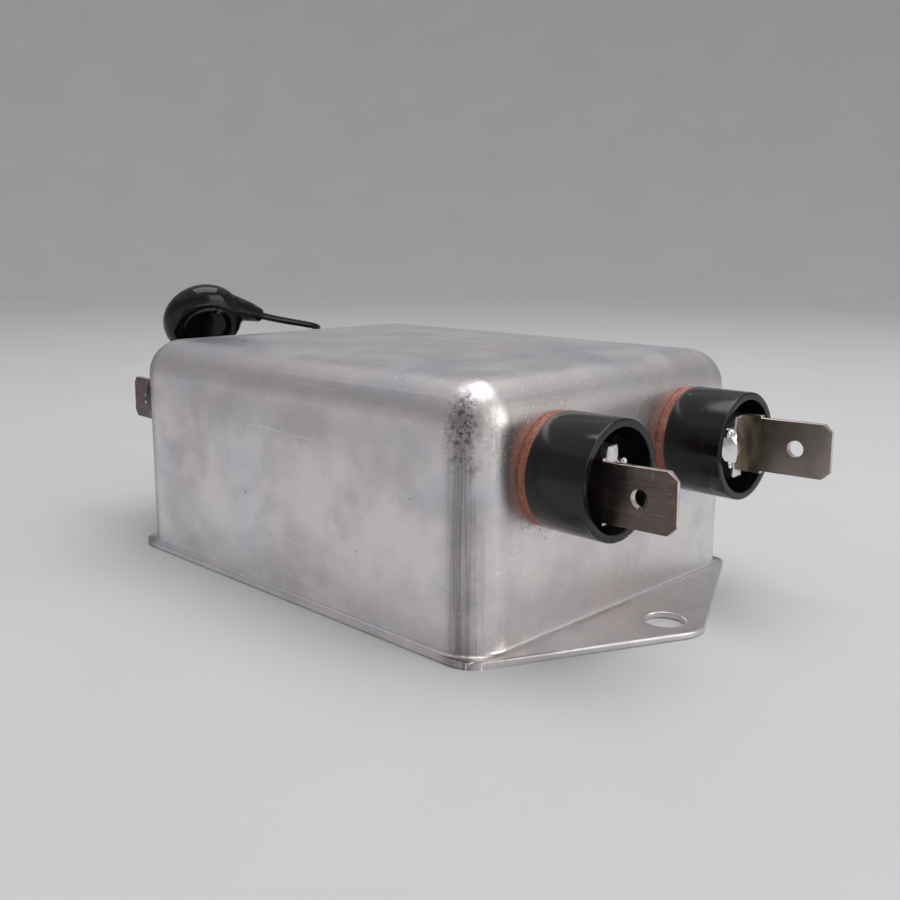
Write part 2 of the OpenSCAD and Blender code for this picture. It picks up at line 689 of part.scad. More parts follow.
solder(LINE_1);  // solder_line_1
solder(LINE_2);  // solder_line_2
choke_core();
choke_divider();
choke_pad();
winding(-1);  // winding_1
winding(1);  // winding_2
insulating_card();
x_capacitor();
x_capacitor_leads();
y_capacitor(-1);  // y_capacitor_1
y_capacitor_leads(-1);  // y_capacitor_1_leads
y_capacitor(1);  // y_capacitor_2
y_capacitor_leads(1);  // y_capacitor_2_leads
earth_lug();
bleed_resistor();
bleed_resistor_leads();
varistor();
varistor_lead(-1);  // varistor_lead_1
varistor_lead(1);  // varistor_lead_2
varistor_joint(-1);  // varistor_joint_1
varistor_joint(1);  // varistor_joint_2
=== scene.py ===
"""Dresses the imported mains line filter: worn drawn can, shrouded terminals and surge varistor."""

import json
import math

import bmesh
import bpy
from bpy.props import FloatProperty, FloatVectorProperty, IntProperty, PointerProperty
from mathutils import Matrix, Vector, noise


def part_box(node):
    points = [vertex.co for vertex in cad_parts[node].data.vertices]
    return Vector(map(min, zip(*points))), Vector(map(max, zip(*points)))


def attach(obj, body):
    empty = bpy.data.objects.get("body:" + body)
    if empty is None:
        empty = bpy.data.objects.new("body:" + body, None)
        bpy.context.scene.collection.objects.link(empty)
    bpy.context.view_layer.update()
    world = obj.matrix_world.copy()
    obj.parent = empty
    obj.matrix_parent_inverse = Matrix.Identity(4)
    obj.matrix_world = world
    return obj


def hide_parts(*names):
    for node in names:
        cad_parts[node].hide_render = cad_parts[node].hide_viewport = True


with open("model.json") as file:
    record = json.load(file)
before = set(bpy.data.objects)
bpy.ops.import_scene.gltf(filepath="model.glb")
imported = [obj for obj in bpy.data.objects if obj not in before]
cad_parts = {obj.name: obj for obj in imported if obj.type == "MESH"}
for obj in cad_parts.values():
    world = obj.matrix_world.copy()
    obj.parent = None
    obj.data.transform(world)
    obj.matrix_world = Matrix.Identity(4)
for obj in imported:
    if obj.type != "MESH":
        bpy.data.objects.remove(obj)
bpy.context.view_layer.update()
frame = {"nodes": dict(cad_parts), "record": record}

bl_info = {
    "name": "Mains Line Filter",
    "version": (1, 0, 0),
    "blender": (4, 5, 0),
    "location": "View3D > Sidebar > Line Filter",
    "description": "Builds the visible pieces and finishes of a canned mains line filter",
    "category": "Object",
}

MM = 0.001
TERMINALS = ("load_1", "load_2", "line_1", "line_2")


# ---- Settings ------------------------------------------------------------------------------


def length(name, description, millimetres, most=0.1):
    return FloatProperty(
        name=name, description=description, default=millimetres * MM, min=-most, max=most,
        unit="LENGTH", precision=5,
    )


def angle(name, description, degrees):
    return FloatProperty(
        name=name, description=description, default=math.radians(degrees), subtype="ANGLE",
        unit="ROTATION",
    )


def colour(name, description, red, green, blue):
    return FloatVectorProperty(
        name=name, description=description, default=(red, green, blue), min=0, max=1,
        subtype="COLOR", size=3,
    )


def share(name, description, value, most=1):
    return FloatProperty(
        name=name, description=description, default=value, min=0, max=most, subtype="FACTOR"
    )


class CanSettings(bpy.types.PropertyGroup):
    """Shape and finish of the drawn can."""

    corner_radius: length("Corner Radius", "Plan radius of the upright corners", 5)
    top_radius: length("Top Radius", "Radius drawn round the top edge", 4.8)
    lip_width: length("Lip Width", "Width of the trimmed lip round the open rim", 0.7)
    lip_edge: length("Lip Edge", "Rounding of the lip's trimmed edge", 0.22)
    cut_spacing: length("Mesh Spacing", "Spacing of the cuts that let the sheet bend", 2)
    long_wall_bow: length("Long Wall Bow", "How far each long wall bows out at its middle", 0.4)
    end_wall_bow: length("End Wall Bow", "How far each end wall bows out at its middle", 0.15)
    top_bow: length("Top Bow", "How far the top bows out at its middle", 0.15)
    wall_foot: length("Wall Foot", "Height at which the walls start to bow", 1.4)
    flat_round_washer: length("Flat Ring", "Flat ring of wall kept round a sleeve's axis", 6.6)
    flat_fade: length("Flat Ring Fade", "Width over which that ring fades into the bow", 3)
    panel_edge: length("Panel Edge", "Width over which a wall's bow fades at its edge", 5)
    corner_ripple: length("Corner Ripple", "Height of the ripples left in the corners", 0.04)
    bare_metal: colour("Bare Metal", "Clean satin aluminium", 0.81, 0.785, 0.785)
    dull_metal: colour("Dull Metal", "Handled, slightly oxidised aluminium", 0.56, 0.535, 0.535)
    warm_metal: colour("Warm Metal", "Warm tint in the oxide", 0.86, 0.775, 0.745)
    cool_metal: colour("Cool Metal", "Cool tint in the oxide", 0.60, 0.63, 0.74)
    # Painted reflection: the dark colour painted in a band down the upright corners
    painted_corner_reflection: colour("Painted Corner Reflection", "Dark band painted down the upright corners as a painted reflection", 0.17, 0.16, 0.16)
    grime: colour("Grime", "Dark specks in the stretched corners and dings", 0.055, 0.05, 0.05)
    roughness: share("Roughness", "Roughness of the satin metal", 0.33)


class TerminalSettings(bpy.types.PropertyGroup):
    """Shape and finish of the terminals."""

    sleeve_wall: length("Sleeve Wall", "Wall of the insulating sleeve", 0.9)
    sleeve_floor: length("Sleeve Floor", "Thickness of the sleeve's floor", 1.2)
    neck_radius: length("Neck Radius", "Radius of the sleeve's neck", 3.5)
    stem_radius: length("Stem Hole Radius", "Radius of the hole for the post", 1.6)
    rim_round: length("Rim Round", "Rounding of the sleeve's outer rim", 0.18)
    rim_nick: length("Rim Nick", "Depth of the nicks in the sleeve's rim", 0.12)
    round_steps: IntProperty(
        name="Round Steps", description="Steps round each sleeve and washer", default=144, min=32,
        max=256,
    )
    washer_rough: length("Washer Roughness", "Height of the lumps on a washer's edge", 0.06)
    blade_edge: length("Blade Edge", "Rounding of a blade's cut edges", 0.07)
    solder_lump: length("Solder Lumps", "Height of the lumps on the solder", 0.3)
    plastic: colour("Sleeve Plastic", "Black phenolic of the sleeves", 0.006, 0.006, 0.007)
    fibre: colour("Fibre", "Vulcanised fibre of the washers", 0.40, 0.145, 0.095)
    fibre_dark: colour("Dark Fibre", "Dark layers in the fibre", 0.11, 0.03, 0.022)
    fibre_pale: colour("Pale Fibre", "Rubbed layers in the fibre", 0.60, 0.34, 0.27)
    tinned: colour("Tinned Blade", "Dull tinned face of the blades", 0.34, 0.295, 0.27)
    tarnished: colour("Tarnished Blade", "Tinned face gone brown", 0.115, 0.088, 0.078)
    flux: colour("Flux Stain", "Yellow-brown flux burnt on near the solder", 0.22, 0.165, 0.085)
    cut_edge: colour("Cut Edge", "Bright edge of a blade", 0.80, 0.70, 0.66)
    solder: colour("Solder", "Bright solder", 0.88, 0.87, 0.86)
    dull_solder: colour("Dull Solder", "Grey skin on old solder", 0.60, 0.57, 0.55)


class VaristorSettings(bpy.types.PropertyGroup):
    """Shape, place and finish of the surge varistor."""

    disc_radius: length("Disc Radius", "Radius of the coated disc", 6.2)
    disc_thickness: length("Disc Thickness", "Thickness of the coated disc", 4.6)
    dish_rim: length("Dish Rim", "Width of the rim round the dipped faces", 0.8)
    dish_depth: length("Dish Depth", "How far the faces dip inside the rim", 0.3)
    disc_out: length("Disc Out", "How far the disc's middle lies out from the line end", 7.8)
    disc_aside: length("Disc Aside", "How far the disc's middle lies off the can's middle", 9)
    disc_height: length("Disc Height", "Height of the disc's middle", 31.05)
    disc_turn: angle("Disc Turn", "Turn of the disc about the upright", 16)
    disc_lean: angle("Disc Lean", "Lean of the disc over the can's end", 33)
    disc_dip: angle("Disc Dip", "Dip of the leads where they leave the disc", 21)
    lead_pitch: length("Lead Pitch", "Distance between the leads", 7.5)
    neck_length: length("Neck Length", "Coating that runs down each lead", 2.4)
    neck_radius: length("Neck Radius", "Radius of that coating at the disc's rim", 1.6)
    neck_end_radius: length("Neck End Radius", "Radius of that coating where it ends", 1.1)
    lead_radius: length("Lead Radius", "Radius of the bare lead", 0.4)
    voxel: length("Coating Grid", "Grid on which the coating is melted together", 0.2)
    coating: colour("Coating", "Black dipped coating", 0.003, 0.003, 0.0035)


class StageSettings(bpy.types.PropertyGroup):
    """Camera, floor and lamps."""

    camera_at: FloatVectorProperty(
        name="Camera Place", description="Where the camera stands", size=3, subtype="TRANSLATION",
        unit="LENGTH", default=(0.099407, -0.097606, 0.043393),
    )
    azimuth: angle("Azimuth", "Turn of the camera", 44.93)
    drop: angle("Drop", "How far the camera looks down", 10.939)
    roll: angle("Roll", "Roll of the camera", 0.174)
    lens: FloatProperty(name="Lens", description="Focal length in millimetres", default=41.048)
    shift_x: FloatProperty(name="Shift X", description="Sideways shift", default=0.016)
    shift_y: FloatProperty(name="Shift Y", description="Upward shift", default=-0.0128)
    floor_radius: FloatProperty(
        name="Floor Radius", description="Where the floor starts to sweep up", default=0.6,
        unit="LENGTH",
    )
    sweep_radius: FloatProperty(
        name="Sweep Radius", description="Radius of the sweep", default=0.5, unit="LENGTH"
    )
    floor: colour("Floor", "Pale floor", 0.68, 0.68, 0.685)
    sky: colour("Surround", "Pale surround", 0.8, 0.8, 0.82)
    fill: FloatProperty(name="Fill", description="Strength of the surround", default=0.6)
    overhead: FloatProperty(name="Overhead", description="Power of the overhead lamp", default=1.35)
    side: FloatProperty(name="Side", description="Power of the side lamp", default=0.5)


# ---- Nodes ---------------------------------------------------------------------------------


class Wiring:
    """Adds shader nodes to a tree and joins them."""

    def __init__(self, tree):
        self.tree = tree

    def add(self, kind, inputs=None, **settings):
        made = self.tree.nodes.new(kind)
        for key, value in settings.items():
            setattr(made, key, value)
        for key, value in (inputs or {}).items():
            self.put(made.inputs[key], value)
        return made

    def put(self, socket, value):
        if isinstance(value, bpy.types.NodeSocket):
            self.tree.links.new(value, socket)
        elif hasattr(value, "__len__") and len(value) == 3 and socket.type == "RGBA":
            socket.default_value = (*value, 1)
        else:
            socket.default_value = value

    def maths(self, operation, a, b=0.0, clamp=False):
        made = self.add("ShaderNodeMath", {0: a, 1: b}, operation=operation, use_clamp=clamp)
        return made.outputs[0]

    def times(self, first, *others):
        for other in others:
            first = self.maths("MULTIPLY", first, other)
        return first

    def most(self, first, *others):
        for other in others:
            first = self.maths("MAXIMUM", first, other)
        return first

    def mix(self, factor, a, b):
        made = self.add("ShaderNodeMix", {0: factor, 6: a, 7: b}, data_type="RGBA")
        return made.outputs[2]

    def spread(self, value, low, high, to_low=0.0, to_high=1.0):
        span = {"Value": value, "From Min": low, "From Max": high, "To Min": to_low, "To Max": to_high}
        made = self.add("ShaderNodeMapRange", span, interpolation_type="SMOOTHSTEP")
        return made.outputs["Result"]

    def noise(self, vector, scale, detail=2.0, rough=0.5, warp=0.0):
        texture = {"Vector": vector, "Scale": scale, "Detail": detail, "Roughness": rough}
        texture["Distortion"] = warp
        return self.add("ShaderNodeTexNoise", texture).outputs["Fac"]

    def stretch(self, vector, scale, turn=(0, 0, 0)):
        mapping = {"Vector": vector, "Rotation": turn, "Scale": scale}
        return self.add("ShaderNodeMapping", mapping, vector_type="POINT").outputs["Vector"]

    def scale(self, vector, factor):
        made = self.add("ShaderNodeVectorMath", {0: vector, 3: factor}, operation="SCALE")
        return made.outputs[0]

    def axes(self, vector):
        return self.add("ShaderNodeSeparateXYZ", {"Vector": vector}).outputs

    def group(self, name, **inputs):
        made = self.add("ShaderNodeGroup", None, node_tree=bpy.data.node_groups[name])
        for key, value in inputs.items():
            self.put(made.inputs[key], value)
        return made.outputs["Mask"]


def new_group(name, **sockets):
    """A shader node group with a place, these float inputs and a mask for its output."""
    tree = bpy.data.node_groups.new(name, "ShaderNodeTree")
    tree.interface.new_socket(name="Place", in_out="INPUT", socket_type="NodeSocketVector")
    for label, default in sockets.items():
        socket = tree.interface.new_socket(name=label, in_out="INPUT", socket_type="NodeSocketFloat")
        socket.default_value = default
    tree.interface.new_socket(name="Mask", in_out="OUTPUT", socket_type="NodeSocketFloat")
    wire = Wiring(tree)
    given = wire.add("NodeGroupInput").outputs
    result = wire.add("NodeGroupOutput").inputs
    return wire, given, result["Mask"]


def mottle_group():
    """Soft blotches between 0 and 1."""
    wire, given, mask = new_group("Mottle", Scale=0.2, Detail=3.0, Low=0.4, High=0.6)
    value = wire.noise(given["Place"], given["Scale"], given["Detail"], 0.55)
    wire.put(mask, wire.spread(value, given["Low"], given["High"]))


def specks_group():
    """Ragged specks, of which only a share of the cells holds one."""
    wire, given, mask = new_group("Specks", Scale=1.0, Size=0.25, Amount=0.2, Ragged=0.5)
    texture = {"Vector": given["Place"], "Scale": wire.times(given["Scale"], 6.0), "Detail": 3.0}
    rough = wire.add("ShaderNodeTexNoise", texture).outputs["Color"]
    pushed = wire.add("ShaderNodeVectorMath", {0: rough, 1: (0.5, 0.5, 0.5)}, operation="SUBTRACT")
    moved = wire.scale(pushed.outputs[0], given["Ragged"])
    shifted = wire.add("ShaderNodeVectorMath", {0: moved, 1: given["Place"]}, operation="ADD")
    cells = wire.add(
        "ShaderNodeTexVoronoi", {"Vector": shifted.outputs[0], "Scale": given["Scale"]}, feature="F1"
    ).outputs
    half = wire.times(given["Size"], 0.5)
    near = wire.spread(cells["Distance"], half, given["Size"], 1.0, 0.0)
    red = wire.add("ShaderNodeSeparateColor", {"Color": cells["Color"]}).outputs["Red"]
    wire.put(mask, wire.times(near, wire.maths("LESS_THAN", red, given["Amount"])))


def scratches_group():
    """Thin straight scratches that cross in three directions."""
    wire, given, mask = new_group("Scratches", Scale=1.0, Amount=0.5)
    scaled = wire.scale(given["Place"], given["Scale"])
    least = wire.spread(given["Amount"], 0.0, 1.0, 0.80, 0.62)
    lines = []
    for turn, shape in (
        ((0.3, 0.5, 0.35), (0.055, 2.6, 1.5)),
        ((0.9, -0.4, -0.9), (2.1, 0.05, 1.9)),
        ((-0.5, 1.1, 1.9), (1.7, 2.3, 0.06)),
    ):
        line = wire.noise(wire.stretch(scaled, shape, turn), 1.0, 1.0, 0.4)
        lines.append(wire.spread(line, least, wire.maths("ADD", least, 0.05)))
    wire.put(mask, wire.most(*lines))


def round_axis_group():
    """1 near an axis along X, fading out between two distances from it."""
    wire, given, mask = new_group("Round Axis", Y=0.0, Z=0.0, Near=6.0, Far=9.0)
    parts = wire.axes(given["Place"])
    across = wire.maths("SUBTRACT", wire.maths("ABSOLUTE", parts["Y"]), given["Y"])
    up = wire.maths("SUBTRACT", parts["Z"], given["Z"])
    square = wire.maths("ADD", wire.times(across, across), wire.times(up, up))
    wire.put(mask, wire.spread(wire.maths("SQRT", square), given["Near"], given["Far"], 1.0, 0.0))


def build_groups():
    if "Mottle" not in bpy.data.node_groups:
        for make in (mottle_group, specks_group, scratches_group, round_axis_group):
            make()


def new_finish(name):
    """An empty material, its wiring, the place in millimetres and its shader."""
    build_groups()
    material = bpy.data.materials.new(name)
    material.use_nodes = True
    material.node_tree.nodes.clear()
    wire = Wiring(material.node_tree)
    shader = wire.add("ShaderNodeBsdfPrincipled")
    output = wire.add("ShaderNodeOutputMaterial")
    wire.put(output.inputs["Surface"], shader.outputs[0])
    place = wire.add("ShaderNodeTexCoord").outputs["Object"]
    return material, wire, wire.scale(place, 1 / MM), shader


def bump(wire, shader, height, strength, depth_mm):
    relief = {"Height": height, "Strength": strength, "Distance": depth_mm * MM}
    wire.put(shader.inputs["Normal"], wire.add("ShaderNodeBump", relief).outputs["Normal"])


# ---- Finishes ------------------------------------------------------------------------------


def millimetre_box(node):
    """Lowest and highest corner of a CAD node, in millimetres as the finishes use."""
    low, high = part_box(node)
    return Vector(low) / MM, Vector(high) / MM


def can_finish(can):
    """Satin aluminium with draw lines, dark specks in the stretched corners, a painted dark reflection band
    down the upright corners, dings, scratches and oxide tints.
    """
    material, wire, place, shader = new_finish("worn_aluminium")
    _, high = millimetre_box("case")
    washer_low, washer_high = millimetre_box("washer_load_2")
    axis = (washer_low + washer_high) / 2
    radius = can.corner_radius / MM
    parts = wire.axes(place)
    height_up = parts["Z"]
    from_middle = wire.maths("ABSOLUTE", parts["X"]), wire.maths("ABSOLUTE", parts["Y"])
    past_x = wire.maths("SUBTRACT", from_middle[0], washer_low.x - radius)
    past_y = wire.maths("SUBTRACT", from_middle[1], high.y - can.lip_width / MM - radius)
    corner = wire.spread(wire.maths("MINIMUM", past_x, past_y), -0.6, 2.6)
    grain = wire.noise(place, 1.9, 5.0, 0.72)
    wander = wire.times(wire.maths("SUBTRACT", wire.noise(place, 0.5, 2.0), 0.5), 2.2)
    turned = wire.maths("SUBTRACT", past_y, past_x)
    long_side = wire.spread(wire.maths("ADD", turned, wander), -1.2, 1.4)
    # Painted reflection: mask of the dark band down the long-wall side of each upright corner
    corner_reflection_mask = wire.times(corner, long_side, wire.spread(past_x, -0.4, 1.6))
    lofty = wire.maths("ADD", height_up, wander)
    upper = wire.times(wire.spread(lofty, 18.5, 24.0), wire.spread(lofty, 27.0, 29.0, 1.0, 0.0))
    strained = wire.times(corner, upper, wire.spread(grain, 0.44, 0.62))
    strained = wire.times(strained, wire.spread(long_side, 0.0, 1.0, 0.25, 1.0))
    streaks = wire.noise(wire.stretch(place, (2.2, 2.2, 0.05)), 1.0, 3.0, 0.6)
    drawn = wire.times(corner, wire.spread(streaks, 0.45, 0.7))
    tint = wire.group("Mottle", Place=place, Scale=0.045, Low=0.42, High=0.62)
    leaning = wire.stretch(place, (1, 1, 1.6), (0.4, 1.0, 0.2))
    cool = wire.group("Mottle", Place=leaning, Scale=0.06, Low=0.5, High=0.68)
    handled = wire.group("Mottle", Place=place, Scale=0.14, Detail=6.0, Low=0.4, High=0.68)
    above = wire.spread(height_up, high.z - 7.5, high.z - 4.0)
    rubbed = wire.times(above, wire.spread(height_up, high.z - 1.2, high.z, 1.0, 0.0))
    shade = wire.mix(wire.times(tint, 0.5), can.bare_metal, can.warm_metal)
    shade = wire.mix(wire.times(rubbed, 0.6), shade, can.warm_metal)
    shade = wire.mix(wire.times(cool, 0.5), shade, can.cool_metal)
    shade = wire.mix(wire.times(handled, 0.5), shade, can.dull_metal)
    shade = wire.mix(wire.times(drawn, 0.5), shade, can.dull_metal)
    # Painted reflection: the corner band is painted dark with streaks, standing in for the dark surroundings
    # reflected there
    painted_reflection_band = wire.times(corner_reflection_mask, wire.spread(streaks, 0.3, 0.7, 0.45, 0.8))
    shade = wire.mix(painted_reflection_band, shade, can.painted_corner_reflection)
    scuffs = wire.group("Scratches", Place=place, Scale=1.0, Amount=0.4)
    turned_place = wire.stretch(place, (1, 1, 1), (1.1, 0.2, 0.8))
    fine = wire.group("Scratches", Place=turned_place, Scale=2.6, Amount=0.55)
    light_marks = wire.times(wire.most(scuffs, wire.times(fine, rubbed)), 0.4)
    shade = wire.mix(light_marks, shade, (0.93, 0.91, 0.9))
    specks = wire.group("Specks", Place=place, Scale=0.16, Size=0.1, Amount=0.13, Ragged=1.6)
    tiny = wire.group("Specks", Place=place, Scale=0.8, Size=0.13, Amount=0.05, Ragged=0.6)
    ring = wire.group("Round Axis", Place=place, Y=axis.y, Z=axis.z, Near=6.4, Far=9.0)
    # Darker speckled ring round each sleeve's axis, full below 13 mm up and fading out by 20 mm
    sleeve_ring_darkening = wire.times(ring, wire.spread(height_up, 20.0, 13.0), wire.spread(grain, 0.5, 0.66))
    dark = wire.most(specks, wire.times(tiny, 0.6), wire.times(strained, 0.85), wire.times(sleeve_ring_darkening, 0.55))
    wire.put(shader.inputs["Base Color"], wire.mix(dark, shade, can.grime))
    shader.inputs["Metallic"].default_value = 1.0
    rough = wire.maths("ADD", can.roughness, wire.times(handled, 0.12))
    rough = wire.maths("ADD", rough, wire.times(dark, 0.3))
    wire.put(shader.inputs["Roughness"], wire.maths("SUBTRACT", rough, wire.times(fine, 0.1), clamp=True))
    height = wire.times(wire.noise(place, 1.3, 4.0, 0.6), 0.2)
    height = wire.maths("ADD", height, wire.times(wire.noise(place, 0.12, 1.0), 1.7))
    height = wire.maths("ADD", height, wire.times(corner, streaks, 0.5))
    for mark, depth in ((strained, 0.6), (specks, 1.2), (wire.most(scuffs, fine), 0.14)):
        height = wire.maths("SUBTRACT", height, wire.times(mark, depth))
    bump(wire, shader, height, 0.6, 0.09)
    return material


def black_finish(name, shade, roughness, peel, nicks):
    """Glossy black plastic or coating with orange peel, smudges, fine scratches and pale nicks."""
    material, wire, place, shader = new_finish(name)
    film = wire.group("Mottle", Place=place, Scale=0.3, Detail=5.0, Low=0.5, High=0.75)
    nick = wire.group("Specks", Place=place, Scale=0.8, Size=0.1, Amount=nicks, Ragged=0.5)
    scratch = wire.group("Scratches", Place=place, Scale=1.6, Amount=0.3)
    dusty = wire.mix(wire.times(film, 0.6), shade, tuple(v + 0.01 for v in shade))
    dusty = wire.mix(wire.times(scratch, 0.2), dusty, (0.07, 0.07, 0.075))
    wire.put(shader.inputs["Base Color"], wire.mix(nick, dusty, (0.3, 0.29, 0.28)))
    rough = wire.maths("ADD", roughness, wire.times(film, 0.16))
    rough = wire.maths("ADD", rough, wire.times(scratch, 0.2), clamp=True)
    wire.put(shader.inputs["Roughness"], rough)
    shader.inputs["Specular IOR Level"].default_value = 0.42
    height = wire.times(wire.noise(place, 0.9, 3.0, 0.5), peel)
    height = wire.maths("SUBTRACT", height, wire.times(wire.most(nick, scratch), 0.3))
    bump(wire, shader, height, 0.5, 0.05)
    return material


def fibre_finish(terminal):
    """Vulcanised fibre: pressed layers, coarse at the cut edge."""
    material, wire, place, shader = new_finish("red_fibre")
    layers = wire.noise(wire.stretch(place, (5.2, 0.35, 0.35)), 1.0, 3.0, 0.6, 0.4)
    grit = wire.noise(place, 3.2, 4.0, 0.7)
    dark = wire.times(wire.spread(layers, 0.46, 0.6), wire.spread(grit, 0.38, 0.6))
    pale = wire.group("Mottle", Place=place, Scale=0.6, Detail=4.0, Low=0.48, High=0.7)
    shade = wire.mix(wire.times(pale, 0.6), terminal.fibre, terminal.fibre_pale)
    shade = wire.mix(wire.times(dark, 0.8), shade, terminal.fibre_dark)
    wire.put(shader.inputs["Base Color"], shade)
    wire.put(shader.inputs["Roughness"], wire.spread(grit, 0.3, 0.7, 0.45, 0.7))
    height = wire.maths("ADD", wire.times(layers, 0.7), wire.times(grit, 0.5))
    bump(wire, shader, height, 0.7, 0.12)
    return material


def blade_finish(terminal):
    """Dull tinned brass, tarnished on one side of the can and stained by flux at the solder."""
    material, wire, place, shader = new_finish("tinned_brass")
    wall = millimetre_box("washer_load_1")[0].x
    parts = wire.axes(place)
    reach = wire.maths("SUBTRACT", wire.maths("ABSOLUTE", parts["X"]), wall)
    cloud = wire.noise(place, 0.5, 4.0, 0.6)
    worn = wire.maths("ADD", reach, wire.times(cloud, 5.0))
    stain = wire.times(wire.spread(worn, 11.0, 15.0, 1.0, 0.0), wire.spread(parts["Y"], -4.0, 4.0))
    lines = wire.noise(wire.stretch(place, (0.25, 3.0, 3.4)), 1.0, 2.0, 0.6)
    blot = wire.group("Mottle", Place=place, Scale=0.5, Detail=4.0, Low=0.42, High=0.7)
    dull = tuple(v * 0.66 for v in terminal.tinned)
    shade = wire.mix(wire.times(blot, 0.5), terminal.tinned, dull)
    browned = wire.spread(wire.maths("ADD", parts["Y"], cloud), -5.0, 4.0, 0.88, 0.0)
    shade = wire.mix(browned, shade, terminal.tarnished)
    shade = wire.mix(wire.times(wire.spread(lines, 0.5, 0.75), 0.18), shade, (0.42, 0.37, 0.34))
    shade = wire.mix(wire.times(stain, 0.75), shade, terminal.flux)
    scratch = wire.group("Scratches", Place=place, Scale=2.4, Amount=0.5)
    shade = wire.mix(wire.times(scratch, 0.3), shade, (0.55, 0.5, 0.47))
    wire.put(shader.inputs["Base Color"], shade)
    shader.inputs["Metallic"].default_value = 0.9
    wire.put(shader.inputs["Roughness"], wire.maths("ADD", 0.3, wire.times(blot, 0.16)))
    height = wire.maths("ADD", wire.times(lines, 0.3), wire.times(cloud, 0.4))
    bump(wire, shader, wire.maths("SUBTRACT", height, wire.times(scratch, 0.2)), 0.45, 0.05)
    return material


def bright_finish(name, shade, dull, roughness, lumps, flux):
    """Bright soft metal: solder, a cut edge or tinned wire, with dull patches and burnt flux."""
    material, wire, place, shader = new_finish(name)
    cloud = wire.group("Mottle", Place=place, Scale=0.55, Detail=3.0, Low=0.42, High=0.68)
    burnt = wire.group("Mottle", Place=place, Scale=0.8, Detail=2.0, Low=0.64, High=0.76)
    mixed = wire.mix(wire.times(cloud, 0.7), shade, dull)
    wire.put(shader.inputs["Base Color"], wire.mix(wire.times(burnt, flux), mixed, (0.08, 0.06, 0.045)))
    shader.inputs["Metallic"].default_value = 1.0
    wire.put(shader.inputs["Roughness"], wire.maths("ADD", roughness, wire.times(cloud, 0.2)))
    bump(wire, shader, wire.noise(place, 1.6, 3.0, 0.5), lumps, 0.1)
    return material


def plain_finish(name, shade, other, grain_scale, roughness, metallic=0.0, relief=0.04, fibres=(1, 1, 1)):
    """A mottled, lightly textured finish for the parts inside the can."""
    material, wire, place, shader = new_finish(name)
    grain = wire.noise(wire.stretch(place, fibres), grain_scale, 4.0, 0.6)
    patch = wire.group("Mottle", Place=place, Scale=grain_scale * 0.2, Low=0.4, High=0.65)
    mixed = wire.mix(wire.spread(grain, 0.35, 0.65), shade, other)
    mixed = wire.mix(wire.times(patch, 0.3), mixed, tuple(v * 0.7 for v in shade))
    wire.put(shader.inputs["Base Color"], mixed)
    shader.inputs["Metallic"].default_value = metallic
    rougher = min(1.0, roughness + 0.25)
    wire.put(shader.inputs["Roughness"], wire.spread(grain, 0.2, 0.8, roughness, rougher))
    bump(wire, shader, grain, 0.5, relief)
    return material


# ---- Shapes --------------------------------------------------------------------------------


def finish_piece(name, bm, materials, nodes, sharp=32):
    """Turns a bmesh into a piece that rides on the object and stands for CAD nodes."""
    mesh = bpy.data.meshes.new(name)
    bm.to_mesh(mesh)
    bm.free()
    for material in materials:
        mesh.materials.append(material)
    mesh.shade_smooth()
    mesh.set_sharp_from_angle(angle=math.radians(sharp))
    piece = bpy.data.objects.new(name, mesh)
    bpy.context.scene.collection.objects.link(piece)
    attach(piece, "root")
    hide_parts(*nodes)
    return piece


def merged_copy(node):
    """A bmesh of a CAD node with its loose triangles joined."""
    bm = bmesh.new()
    bm.from_mesh(frame["nodes"][node].data)
    bmesh.ops.remove_doubles(bm, verts=bm.verts, dist=2e-6)
    return bm


def everything(bm):
    """All that a cut may go through."""
    return bm.verts[:] + bm.edges[:] + bm.faces[:]


def cut_across(bm, axis, first, last, spacing):
    """Cuts the mesh with planes square to an axis, so that it can bend."""
    normal = Vector((0, 0, 0))
    normal[axis] = 1
    count = max(1, round((last - first) / spacing))
    for i in range(count + 1):
        at = normal * (first + (last - first) * i / count)
        bmesh.ops.bisect_plane(bm, geom=everything(bm), dist=1e-7, plane_co=at, plane_no=normal)


def bevel_edges(bm, edges, offset, segments):
    bmesh.ops.bevel(
        bm, geom=edges, offset=offset, segments=segments, profile=0.5, affect="EDGES", material=-1
    )


def smooth(value):
    """0 to 1 with soft ends."""
    value = max(0.0, min(1.0, value))
    return value * value * (3 - 2 * value)


def profile_spin(points, rounds, centre, steps):
    """A closed ring spun about X through centre from (x, radius) points, some of them rounded."""
    bm = bmesh.new()
    corners = [bm.verts.new((x, centre.y, centre.z + r)) for x, r in points]
    bm.faces.new(corners)
    for i, radius in rounds.items():
        bmesh.ops.bevel(
            bm, geom=[corners[i]], offset=radius, segments=4, profile=0.5, affect="VERTICES",
            material=-1,
        )
    bmesh.ops.delete(bm, geom=bm.faces[:], context="FACES_ONLY")
    bmesh.ops.spin(
        bm, geom=bm.verts[:] + bm.edges[:], cent=centre, axis=(1, 0, 0), dvec=(0, 0, 0),
        angle=math.tau, steps=steps, use_merge=True, use_duplicate=False,
    )
    bmesh.ops.remove_doubles(bm, verts=bm.verts, dist=1e-7)
    bmesh.ops.recalc_face_normals(bm, faces=bm.faces)
    return bm


def terminal_axis(name):
    """Sleeve axis point on the wall, the end of the can it is at, and its sleeve's box."""
    low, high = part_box("sleeve_" + name)
    washer_low, washer_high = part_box("washer_" + name)
    end = 1 if low.x > 0 else -1
    wall = washer_low.x if end > 0 else washer_high.x
    return Vector((wall, (low.y + high.y) / 2, (low.z + high.z) / 2)), end, low, high


def lumps(point, size, seed):
    """Rolling noise between -1 and 1 at a point, with features of that size in metres."""
    return noise.noise(point / size + Vector((seed * 7.3, seed * 3.1, seed * 5.7)))


# ---- Operators -----------------------------------------------------------------------------


